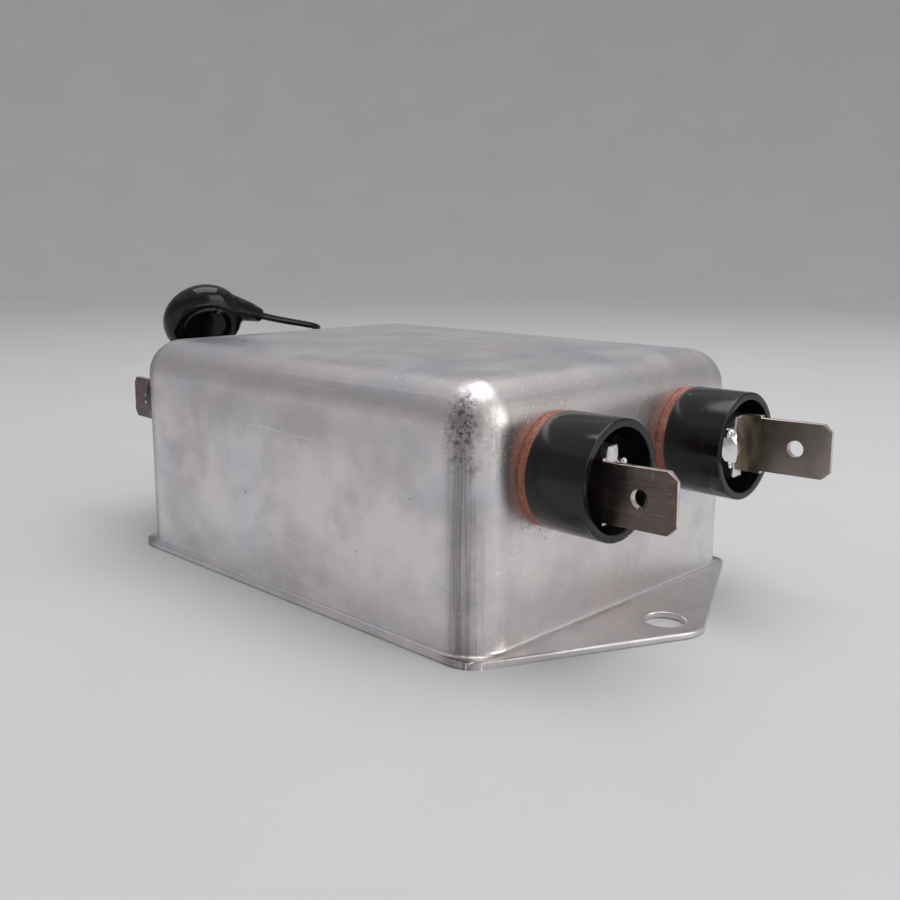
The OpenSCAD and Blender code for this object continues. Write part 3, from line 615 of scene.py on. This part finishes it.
class DrawnCan(bpy.types.Operator):
    """Bends the can's sheet a little, as a drawn and handled can, and gives it its worn skin with a painted
    dark reflection band down its upright corners.
    """

    bl_idname = "line_filter.drawn_can"
    bl_label = "Drawn Can"

    def execute(self, context):
        can = context.scene.line_filter_can
        bm = merged_copy("case")
        _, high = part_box("case")
        wall = terminal_axis("load_1")[0].x
        side = high.y - can.lip_width
        span = can.cut_spacing
        bmesh.ops.dissolve_limit(bm, angle_limit=math.radians(0.5), verts=bm.verts, edges=bm.edges)
        trimmed = [e for e in bm.edges if self.is_trimmed(e, wall, side)]
        bevel_edges(bm, trimmed, can.lip_edge, 3)
        bmesh.ops.triangulate(bm, faces=[f for f in bm.faces if len(f.verts) > 4])
        cut_across(bm, 0, -wall + span / 2, wall - span / 2, span)
        cut_across(bm, 1, -side + span / 2, side - span / 2, span)
        cut_across(bm, 2, 2.2 * MM, high.z - 1.2 * MM, span)
        self.bend(bm, can, wall, side, high.z)
        finish_piece("can", bm, [can_finish(can)], ["case"], sharp=40)
        return {"FINISHED"}

    def is_trimmed(self, edge, wall, side):
        """True for the edges that the trimming press left round the lip, the ears and the holes."""
        middle = (edge.verts[0].co + edge.verts[1].co) / 2
        outside = abs(middle.x) > wall + 0.3 * MM or abs(middle.y) > side + 0.3 * MM
        return outside and middle.z < MM and edge.is_manifold and edge.calc_face_angle(0) > 1

    def bend(self, bm, can, wall, side, top):
        axes = [terminal_axis(name)[0] for name in TERMINALS]
        flat_x, flat_y = wall - can.corner_radius, side - can.corner_radius
        flat_z = top - can.top_radius

        def panel(u, v):
            left = max(0.0, 1 - u / can.panel_edge), max(0.0, 1 - v / can.panel_edge)
            return smooth(1 - math.hypot(*left))

        for vert in bm.verts:
            p = vert.co.copy()
            above_foot = p.z - can.wall_foot
            upright = min(flat_z - p.z, above_foot)
            if abs(p.y) > side - MM and abs(p.y) < side + 0.1 * MM and above_foot > 0:
                bow = can.long_wall_bow * panel(flat_x - abs(p.x), upright)
                vert.co.y += math.copysign(bow, p.y)
            if abs(p.x) > wall - MM and abs(p.x) < wall + 0.1 * MM and above_foot > 0:
                near = min((Vector((p.y, p.z)) - axis.yz).length for axis in axes)
                hold = smooth((near - can.flat_round_washer) / can.flat_fade)
                bow = can.end_wall_bow * hold * panel(flat_y - abs(p.y), upright)
                vert.co.x += math.copysign(bow, p.x)
            if p.z > top - MM:
                vert.co.z += can.top_bow * panel(flat_x - abs(p.x), flat_y - abs(p.y))
            if abs(p.x) > flat_x and abs(p.y) > flat_y and p.z > 2 * MM:
                past = p.x - math.copysign(flat_x, p.x), p.y - math.copysign(flat_y, p.y)
                out = Vector((*past, 0))
                fade = smooth(min(abs(out.x), abs(out.y)) / MM)
                if out.length > 0:
                    ripple = lumps(p, 2.5 * MM, 1) * can.corner_ripple * fade
                    vert.co += out.normalized() * ripple


class Sleeves(bpy.types.Operator):
    """Spins the four insulating sleeves with rounded, nicked rims."""

    bl_idname = "line_filter.sleeves"
    bl_label = "Insulating Sleeves"

    def execute(self, context):
        terminal = context.scene.line_filter_terminals
        plastic = black_finish("black_phenolic", tuple(terminal.plastic), 0.13, 0.5, 0.06)
        for seed, name in enumerate(TERMINALS):
            axis, end, low, high = terminal_axis(name)
            washer_low, washer_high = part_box("washer_" + name)
            seat = washer_high.x if end > 0 else washer_low.x
            rim, inner = (high.x, low.x) if end > 0 else (low.x, high.x)
            radius = (high.y - low.y) / 2
            bore = radius - terminal.sleeve_wall
            floor = seat + end * terminal.sleeve_floor
            section = [
                (inner, terminal.stem_radius), (inner, terminal.neck_radius),
                (seat, terminal.neck_radius), (seat, radius), (rim, radius), (rim, bore),
                (floor, bore), (floor, terminal.stem_radius),
            ]
            rounds = {3: 0.3 * MM, 4: terminal.rim_round, 5: 0.14 * MM, 6: 0.4 * MM}
            bm = profile_spin(section, rounds, axis, terminal.round_steps)
            for vert in bm.verts:
                if abs(vert.co.x - rim) < 0.5 * MM:
                    depth = max(0.0, lumps(vert.co, 0.55 * MM, seed) - 0.25) * terminal.rim_nick
                    vert.co.x -= end * depth
                    vert.co.yz = axis.yz + (vert.co.yz - axis.yz) * (1 - depth / radius)
            finish_piece("insulating_sleeve_" + name, bm, [plastic], ["sleeve_" + name])
        return {"FINISHED"}


class Washers(bpy.types.Operator):
    """Spins the four fibre washers with rough, layered edges."""

    bl_idname = "line_filter.washers"
    bl_label = "Fibre Washers"

    def execute(self, context):
        terminal = context.scene.line_filter_terminals
        fibre = fibre_finish(terminal)
        rows = 6
        for seed, name in enumerate(TERMINALS):
            axis, _, _, _ = terminal_axis(name)
            low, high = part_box("washer_" + name)
            radius = (high.y - low.y) / 2
            bore = terminal.neck_radius + 0.1 * MM
            edge = [(low.x + (high.x - low.x) * i / rows, radius) for i in range(rows + 1)]
            section = [(low.x, bore), *edge, (high.x, bore)]
            rounds = {1: 0.08 * MM, rows + 1: 0.08 * MM}
            bm = profile_spin(section, rounds, axis, terminal.round_steps * 2)
            for vert in bm.verts:
                out = vert.co.yz - axis.yz
                if out.length > radius - 0.15 * MM:
                    rough = lumps(vert.co * Vector((2.2, 1, 1)), 0.5 * MM, seed) - 0.5
                    vert.co.yz = axis.yz + out * (1 + rough * terminal.washer_rough / radius)
            finish_piece("fibre_washer_" + name, bm, [fibre], ["washer_" + name], sharp=60)
        return {"FINISHED"}


class Posts(bpy.types.Operator):
    """Roughens the posts' lugs with the solder that has run over them."""

    bl_idname = "line_filter.posts"
    bl_label = "Terminal Posts"

    def execute(self, context):
        terminal = context.scene.line_filter_terminals
        bright, dull = tuple(terminal.solder), tuple(terminal.dull_solder)
        metal = bright_finish("tinned_lug", bright, dull, 0.3, 0.7, 0.2)
        for seed, name in enumerate(TERMINALS):
            axis, end, _, _ = terminal_axis(name)
            bm = merged_copy("post_" + name)
            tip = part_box("post_" + name)[1 if end > 0 else 0].x
            inside = sorted((axis.x + end * 3 * MM, tip - end * 0.3 * MM))
            cut_across(bm, 0, *inside, 0.4 * MM)
            cut_across(bm, 1, axis.y - 1.2 * MM, axis.y + 1.2 * MM, 0.4 * MM)
            cut_across(bm, 2, axis.z - 3.5 * MM, axis.z + 3.5 * MM, 0.4 * MM)
            for vert in bm.verts:
                if end * (vert.co.x - axis.x) > 3 * MM:
                    step = Vector([lumps(vert.co, 0.9 * MM, seed + k) for k in range(3)])
                    step *= 0.12 * MM
                    top = smooth((vert.co.z - axis.z - 2.6 * MM) / MM)
                    step.z -= 0.3 * MM * top * abs(lumps(vert.co, 1.4 * MM, seed + 5))
                    vert.co += step
            finish_piece("terminal_post_" + name, bm, [metal], ["post_" + name], sharp=50)
        return {"FINISHED"}


class Blades(bpy.types.Operator):
    """Rounds the cut edges of the four quick-connect blades and dulls their faces."""

    bl_idname = "line_filter.blades"
    bl_label = "Blade Terminals"

    def execute(self, context):
        terminal = context.scene.line_filter_terminals
        face = blade_finish(terminal)
        bright = tuple(terminal.cut_edge)
        edge = bright_finish("blade_cut_edge", bright, (0.5, 0.4, 0.36), 0.26, 0.3, 0.2)
        for name in TERMINALS:
            bm = merged_copy("blade_" + name)
            bmesh.ops.dissolve_limit(bm, angle_limit=math.radians(1), verts=bm.verts, edges=bm.edges)
            sharp = [e for e in bm.edges if e.is_manifold and e.calc_face_angle(0) > math.radians(40)]
            bevel_edges(bm, sharp, terminal.blade_edge, 2)
            bm.normal_update()
            for f in bm.faces:
                f.material_index = 0 if abs(f.normal.y) > 0.85 else 1
            finish_piece(
                "blade_terminal_" + name, bm, [face, edge], ["blade_" + name], sharp=20
            )
        return {"FINISHED"}


class SolderDomes(bpy.types.Operator):
    """Blows up the solder on each post's lug into smooth, sagging domes with a few droplets."""

    bl_idname = "line_filter.solder_domes"
    bl_label = "Solder"

    def execute(self, context):
        terminal = context.scene.line_filter_terminals
        bright, dull = tuple(terminal.solder), tuple(terminal.dull_solder)
        metal = bright_finish("bright_solder", bright, dull, 0.09, 0.3, 0.75)
        for seed, name in enumerate(TERMINALS):
            _, end, _, _ = terminal_axis(name)
            low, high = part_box("solder_" + name)
            middle, size = (low + high) / 2, high - low
            blade_low, blade_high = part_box("blade_" + name)
            away = 1 if (blade_low.y + blade_high.y) / 2 < middle.y else -1
            face = low.y if away > 0 else high.y
            seat = Vector((middle.x, face, middle.z))
            bm = bmesh.new()
            bmesh.ops.create_icosphere(bm, subdivisions=6, radius=1)
            shape = Matrix.Diagonal((size.x * 0.5, size.y * 0.98, size.z * 0.5))
            for vert in bm.verts:
                p = seat + shape @ vert.co
                swell = lumps(p, 1.8 * MM, seed + 2) * 0.8 + lumps(p, 0.7 * MM, seed + 9) * 0.15
                p += vert.co.normalized() * swell * terminal.solder_lump
                if away * (p.y - face) < -0.25 * MM:
                    p.y = face - away * 0.25 * MM
                p.x = min(max(p.x, low.x), high.x)
                vert.co = p
            for spot, radius in (
                ((0.30, 0.55, 0.28), 0.5),
                ((0.36, 0.5, -0.34), 0.42),
            ):
                offset = Vector((end * spot[0] * size.x, away * spot[1] * size.y, spot[2] * size.z))
                bmesh.ops.create_icosphere(
                    bm, subdivisions=4, radius=radius * MM, matrix=Matrix.Translation(seat + offset)
                )
            finish_piece("solder_dome_" + name, bm, [metal], ["solder_" + name], sharp=80)
        return {"FINISHED"}


def applied(piece):
    """Keeps what the piece's modifiers make, and drops them."""
    bpy.context.view_layer.update()
    shaped = bpy.data.meshes.new_from_object(
        piece.evaluated_get(bpy.context.evaluated_depsgraph_get())
    )
    piece.modifiers.clear()
    piece.data = shaped
    shaped.shade_smooth()


def disc_place(shape):
    """Turns the disc's own frame, axis along X and leads along Y, to its place behind the can."""
    wall = terminal_axis("line_1")[0].x
    middle = Vector((wall - shape.disc_out, -shape.disc_aside, shape.disc_height))
    turn = Matrix.Rotation(-shape.disc_turn, 4, "Z")
    lean = Matrix.Rotation(shape.disc_lean, 4, "Y")
    dip = Matrix.Rotation(-shape.disc_dip, 4, "X")
    return Matrix.Translation(middle) @ turn @ lean @ dip


class Varistor(bpy.types.Operator):
    """Dips the varistor's disc and necks in one coat, and runs its leads to the line blades."""

    bl_idname = "line_filter.varistor"
    bl_label = "Surge Varistor"

    def execute(self, context):
        shape = context.scene.line_filter_varistor
        terminal = context.scene.line_filter_terminals
        coat = black_finish("dipped_coating", tuple(shape.coating), 0.07, 0.8, 0.02)
        bright, dull = tuple(terminal.solder), tuple(terminal.dull_solder)
        wire = bright_finish("tinned_lead", dull, (0.4, 0.38, 0.37), 0.25, 0.3, 0.2)
        bead = bright_finish("joint_solder", bright, dull, 0.12, 0.4, 0.5)
        self.disc(shape, coat)
        for side, name in ((-1, "varistor_joint_1"), (1, "varistor_joint_2")):
            low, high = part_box(name)
            middle, size = (low + high) / 2, (high - low) / 2
            joint = Vector((middle.x, high.y - size.x if side < 0 else low.y + size.x, middle.z))
            self.lead(shape, side, joint, wire, coat)
            bm = bmesh.new()
            bmesh.ops.create_icosphere(bm, subdivisions=5, radius=1)
            for vert in bm.verts:
                p = middle + Matrix.Diagonal(size) @ vert.co
                vert.co = p + vert.co * lumps(p, 0.9 * MM, side + 2) * 0.15 * MM
            finish_piece(name + "_bead", bm, [bead], [name], sharp=80)
        return {"FINISHED"}

    def disc(self, shape, coat):
        bm = bmesh.new()
        bmesh.ops.create_cone(
            bm, cap_ends=True, segments=96, radius1=shape.disc_radius, radius2=shape.disc_radius,
            depth=shape.disc_thickness, matrix=Matrix.Rotation(math.pi / 2, 4, "Y"),
        )
        rim = [e for e in bm.edges if abs(e.verts[0].co.x - e.verts[1].co.x) < 1e-7]
        bevel_edges(bm, rim, shape.disc_thickness * 0.48, 8)
        caps = [f for f in bm.faces if abs(f.normal.x) > 0.999]
        bmesh.ops.inset_region(bm, faces=caps, thickness=shape.dish_rim, depth=-shape.dish_depth)
        along = Matrix.Rotation(-math.pi / 2, 4, "X")
        for side in (-1, 1):
            start = 0
            for end, first, last in (
                (shape.disc_radius, shape.neck_radius * 1.35, shape.neck_radius),
                (shape.disc_radius + shape.neck_length, shape.neck_radius, shape.neck_end_radius),
            ):
                middle = Vector((0, (start + end) / 2, side * shape.lead_pitch / 2))
                bmesh.ops.create_cone(
                    bm, cap_ends=True, segments=32, radius1=first, radius2=last, depth=end - start,
                    matrix=Matrix.Translation(middle) @ along,
                )
                start = end
        bmesh.ops.transform(bm, matrix=disc_place(shape), verts=bm.verts)
        bmesh.ops.recalc_face_normals(bm, faces=bm.faces)
        disc = finish_piece("surge_varistor", bm, [coat], ["varistor"], sharp=180)
        melt = disc.modifiers.new("Melt", "REMESH")
        melt.mode = "VOXEL"
        melt.voxel_size = shape.voxel
        relax = disc.modifiers.new("Relax", "SMOOTH")
        relax.factor = 0.6
        relax.iterations = 10
        applied(disc)

    def lead(self, shape, side, joint, wire, coat):
        """Runs one lead from the end of its neck to its joint, along the route that was chosen."""
        place = disc_place(shape)
        reach = shape.disc_radius + shape.neck_length
        away = [place @ Vector((0, reach + out * MM, side * shape.lead_pitch / 2)) for out in (-0.6, 1.5)]
        if side > 0:
            chosen = [joint + Vector(p) * MM for p in ((6.8, -1.4, 9.3), (0, 0, 7.5), (0, 0, -1))]
        else:
            chosen = [away[1] + Vector((-4.8, 0.3, -2)) * MM]
            chosen += [joint + Vector(p) * MM for p in ((-0.5, 7.7, 4), (0, 0, 4.2), (0, 0, -1))]
        way = [away[0], *self.rounded([away[1], *chosen], 2.5 * MM)]
        line = bpy.data.curves.new("lead", "CURVE")
        line.dimensions = "3D"
        line.bevel_depth = shape.lead_radius
        line.bevel_resolution = 6
        line.resolution_u = 8
        line.use_fill_caps = True
        spline = line.splines.new("NURBS")
        spline.points.add(len(way) - 1)
        for i, (point, spot) in enumerate(zip(spline.points, way)):
            point.co = (*spot, 1)
            point.radius = 1.15 + 0.35 * max(0.0, 1 - i / 3)
        spline.order_u = 3
        spline.use_endpoint_u = True
        run = bpy.data.objects.new("lead", line)
        bpy.context.scene.collection.objects.link(run)
        bpy.context.view_layer.update()
        tube = bpy.data.meshes.new_from_object(
            run.evaluated_get(bpy.context.evaluated_depsgraph_get())
        )
        bpy.data.objects.remove(run)
        bm = bmesh.new()
        bm.from_mesh(tube)
        bmesh.ops.remove_doubles(bm, verts=bm.verts, dist=1e-7)
        bmesh.ops.recalc_face_normals(bm, faces=bm.faces)
        name = "varistor_lead_2" if side > 0 else "varistor_lead_1"
        metal = coat if side > 0 else wire
        finish_piece(name + "_wire", bm, [metal], [name], sharp=60)

    def rounded(self, points, radius):
        """Softens the inner corners of a route, each with three steps."""
        way = [points[0]]
        for before, corner, after in zip(points, points[1:], points[2:]):
            back, on = before - corner, after - corner
            reach = min(radius, back.length / 2.2, on.length / 2.2)
            first = corner + back.normalized() * reach
            last = corner + on.normalized() * reach
            for step in range(4):
                t = step / 3
                way.append((1 - t) ** 2 * first + 2 * t * (1 - t) * corner + t * t * last)
        return [*way, points[-1]]


class InnerParts(bpy.types.Operator):
    """Finishes the CAD nodes that keep their own shape: the closing plate and all inside the can."""

    bl_idname = "line_filter.inner_parts"
    bl_label = "Inner Parts"

    def execute(self, context):
        can = context.scene.line_filter_can
        bare, dull = tuple(can.bare_metal), tuple(can.dull_metal)
        orange, copper = (0.42, 0.12, 0.03), (0.55, 0.19, 0.05)
        finishes = {
            "aluminium": plain_finish("mill_aluminium", bare, dull, 1.2, 0.35, 1.0, 0.03, (0.1, 1, 1)),
            "red_fibre": bpy.data.materials["red_fibre"],
            "ferrite": plain_finish("ferrite", (0.035, 0.035, 0.04), (0.06, 0.06, 0.065), 3.0, 0.5),
            "enamelled_copper": plain_finish("enamelled_copper", orange, copper, 0.8, 0.2, 0.85, 0.02),
            "pressed_board": plain_finish(
                "pressed_board", (0.30, 0.17, 0.08), (0.38, 0.24, 0.12), 2.0, 0.65, 0.0, 0.06, (1, 0.2, 1)
            ),
            "yellow_film": plain_finish("moulded_box", (0.62, 0.38, 0.05), (0.68, 0.43, 0.08), 1.5, 0.3),
            "blue_ceramic": plain_finish(
                "dipped_ceramic", (0.02, 0.11, 0.32), (0.03, 0.15, 0.38), 1.2, 0.25
            ),
            "resistor_body": plain_finish("lacquered_body", (0.48, 0.33, 0.17), (0.56, 0.4, 0.22), 2.5, 0.4),
            "solder": plain_finish(
                "tinned_copper", (0.66, 0.64, 0.62), (0.5, 0.47, 0.45), 2.0, 0.28, 1.0, 0.02
            ),
        }
        slots = {p["node"]: p["material_slot"] for p in frame["record"]["subparts"]}
        for name, node in frame["nodes"].items():
            if not node.hide_render:
                node.data.materials.clear()
                node.data.materials.append(finishes[slots[name]])
        return {"FINISHED"}


class Stage(bpy.types.Operator):
    """Sets up the pale floor that sweeps up all round, the soft lamps and the camera."""

    bl_idname = "line_filter.stage"
    bl_label = "Stage"

    def execute(self, context):
        stage = context.scene.line_filter_stage
        self.floor(context, stage)
        self.surround(context, stage)
        self.lamps(context, stage)
        self.camera(context, stage)
        context.scene.view_settings.view_transform = "Standard"
        return {"FINISHED"}

    def floor(self, context, stage):
        bm = bmesh.new()
        bend = stage.sweep_radius
        reach = stage.floor_radius + bend
        verts = [bm.verts.new((x, 0, 0)) for x in (0.0, stage.floor_radius * 0.5, stage.floor_radius)]
        for step in range(1, 13):
            turn = math.radians(step * 7.5)
            at = (stage.floor_radius + bend * math.sin(turn), 0, bend * (1 - math.cos(turn)))
            verts.append(bm.verts.new(at))
        verts.append(bm.verts.new((reach, 0, bend * 1.6)))
        for first, second in zip(verts, verts[1:]):
            bm.edges.new((first, second))
        bmesh.ops.spin(
            bm, geom=bm.verts[:] + bm.edges[:], cent=(0, 0, 0), axis=(0, 0, 1), dvec=(0, 0, 0),
            angle=math.tau, steps=96, use_merge=True, use_duplicate=False,
        )
        bmesh.ops.remove_doubles(bm, verts=bm.verts, dist=1e-6)
        bmesh.ops.recalc_face_normals(bm, faces=bm.faces)
        mesh = bpy.data.meshes.new("floor")
        bm.to_mesh(mesh)
        bm.free()
        mesh.shade_smooth()
        floor = bpy.data.objects.new("floor", mesh)
        context.scene.collection.objects.link(floor)
        material, wire, place, shader = new_finish("pale_floor")
        cloud = wire.noise(place, 0.02, 3.0)
        darker = tuple(v * 0.97 for v in stage.floor)
        shade = wire.mix(wire.spread(cloud, 0.3, 0.7), stage.floor, darker)
        wire.put(shader.inputs["Base Color"], shade)
        shader.inputs["Roughness"].default_value = 0.75
        mesh.materials.append(material)

    def surround(self, context, stage):
        world = bpy.data.worlds.new("surround")
        world.use_nodes = True
        context.scene.world = world
        world.node_tree.nodes.clear()
        sky = Wiring(world.node_tree)
        colour_and_strength = {"Color": stage.sky, "Strength": stage.fill}
        back = sky.add("ShaderNodeBackground", colour_and_strength)
        sky.put(sky.add("ShaderNodeOutputWorld").inputs["Surface"], back.outputs[0])

    def lamps(self, context, stage):
        for name, at, size, power in (
            ("overhead_lamp", (0.02, 0.06, 0.5), 0.42, stage.overhead),
            ("side_lamp", (0.42, 0.12, 0.16), 0.3, stage.side),
        ):
            lamp = bpy.data.lights.new(name, "AREA")
            lamp.shape = "SQUARE"
            lamp.size = size
            lamp.energy = power
            holder = bpy.data.objects.new(name, lamp)
            holder.location = at
            aim = Vector((0, 0, 0.015)) - Vector(at)
            holder.rotation_euler = aim.to_track_quat("-Z", "Y").to_euler()
            context.scene.collection.objects.link(holder)

    def camera(self, context, stage):
        level = math.cos(stage.drop)
        across, along = -math.sin(stage.azimuth) * level, math.cos(stage.azimuth) * level
        ahead = Vector((across, along, -math.sin(stage.drop)))
        right = ahead.cross(Vector((0, 0, 1))).normalized()
        up = right.cross(ahead)
        rolled_right = right * math.cos(stage.roll) + up * math.sin(stage.roll)
        rolled_up = up * math.cos(stage.roll) - right * math.sin(stage.roll)
        level_turn = Matrix((rolled_right, rolled_up, -ahead)).transposed()
        camera = bpy.data.objects.new("camera", bpy.data.cameras.new("camera"))
        camera.data.sensor_width = 36
        camera.data.lens = stage.lens
        camera.data.shift_x = stage.shift_x
        camera.data.shift_y = stage.shift_y
        camera.data.clip_start = 0.005
        camera.matrix_world = Matrix.Translation(stage.camera_at) @ level_turn.to_4x4()
        context.scene.collection.objects.link(camera)
        context.scene.camera = camera


class LineFilterPanel(bpy.types.Panel):
    """Lists the settings and the steps that build the line filter."""

    bl_idname = "VIEW3D_PT_line_filter"
    bl_label = "Line Filter"
    bl_space_type = "VIEW_3D"
    bl_region_type = "UI"
    bl_category = "Line Filter"

    def draw(self, context):
        for label, group in (
            ("Can", context.scene.line_filter_can),
            ("Terminals", context.scene.line_filter_terminals),
            ("Varistor", context.scene.line_filter_varistor),
            ("Stage", context.scene.line_filter_stage),
        ):
            box = self.layout.box()
            box.label(text=label)
            for key in group.bl_rna.properties.keys():
                if key not in ("rna_type", "name"):
                    box.prop(group, key)
        for step in STEPS:
            self.layout.operator(step.bl_idname)


SETTINGS = {
    "line_filter_can": CanSettings,
    "line_filter_terminals": TerminalSettings,
    "line_filter_varistor": VaristorSettings,
    "line_filter_stage": StageSettings,
}
STEPS = (DrawnCan, Sleeves, Washers, Posts, Blades, SolderDomes, Varistor, InnerParts, Stage)


def register():
    for made in (*SETTINGS.values(), *STEPS, LineFilterPanel):
        bpy.utils.register_class(made)
    for name, kind in SETTINGS.items():
        setattr(bpy.types.Scene, name, PointerProperty(type=kind))


def unregister():
    for name in SETTINGS:
        delattr(bpy.types.Scene, name)
    for made in (LineFilterPanel, *reversed(STEPS), *SETTINGS.values()):
        bpy.utils.unregister_class(made)


def main():
    register()
    bpy.ops.line_filter.drawn_can()
    bpy.ops.line_filter.sleeves()
    bpy.ops.line_filter.washers()
    bpy.ops.line_filter.posts()
    bpy.ops.line_filter.blades()
    bpy.ops.line_filter.solder_domes()
    bpy.ops.line_filter.varistor()
    bpy.ops.line_filter.inner_parts()
    bpy.ops.line_filter.stage()


if __name__ == "__main__":
    main()
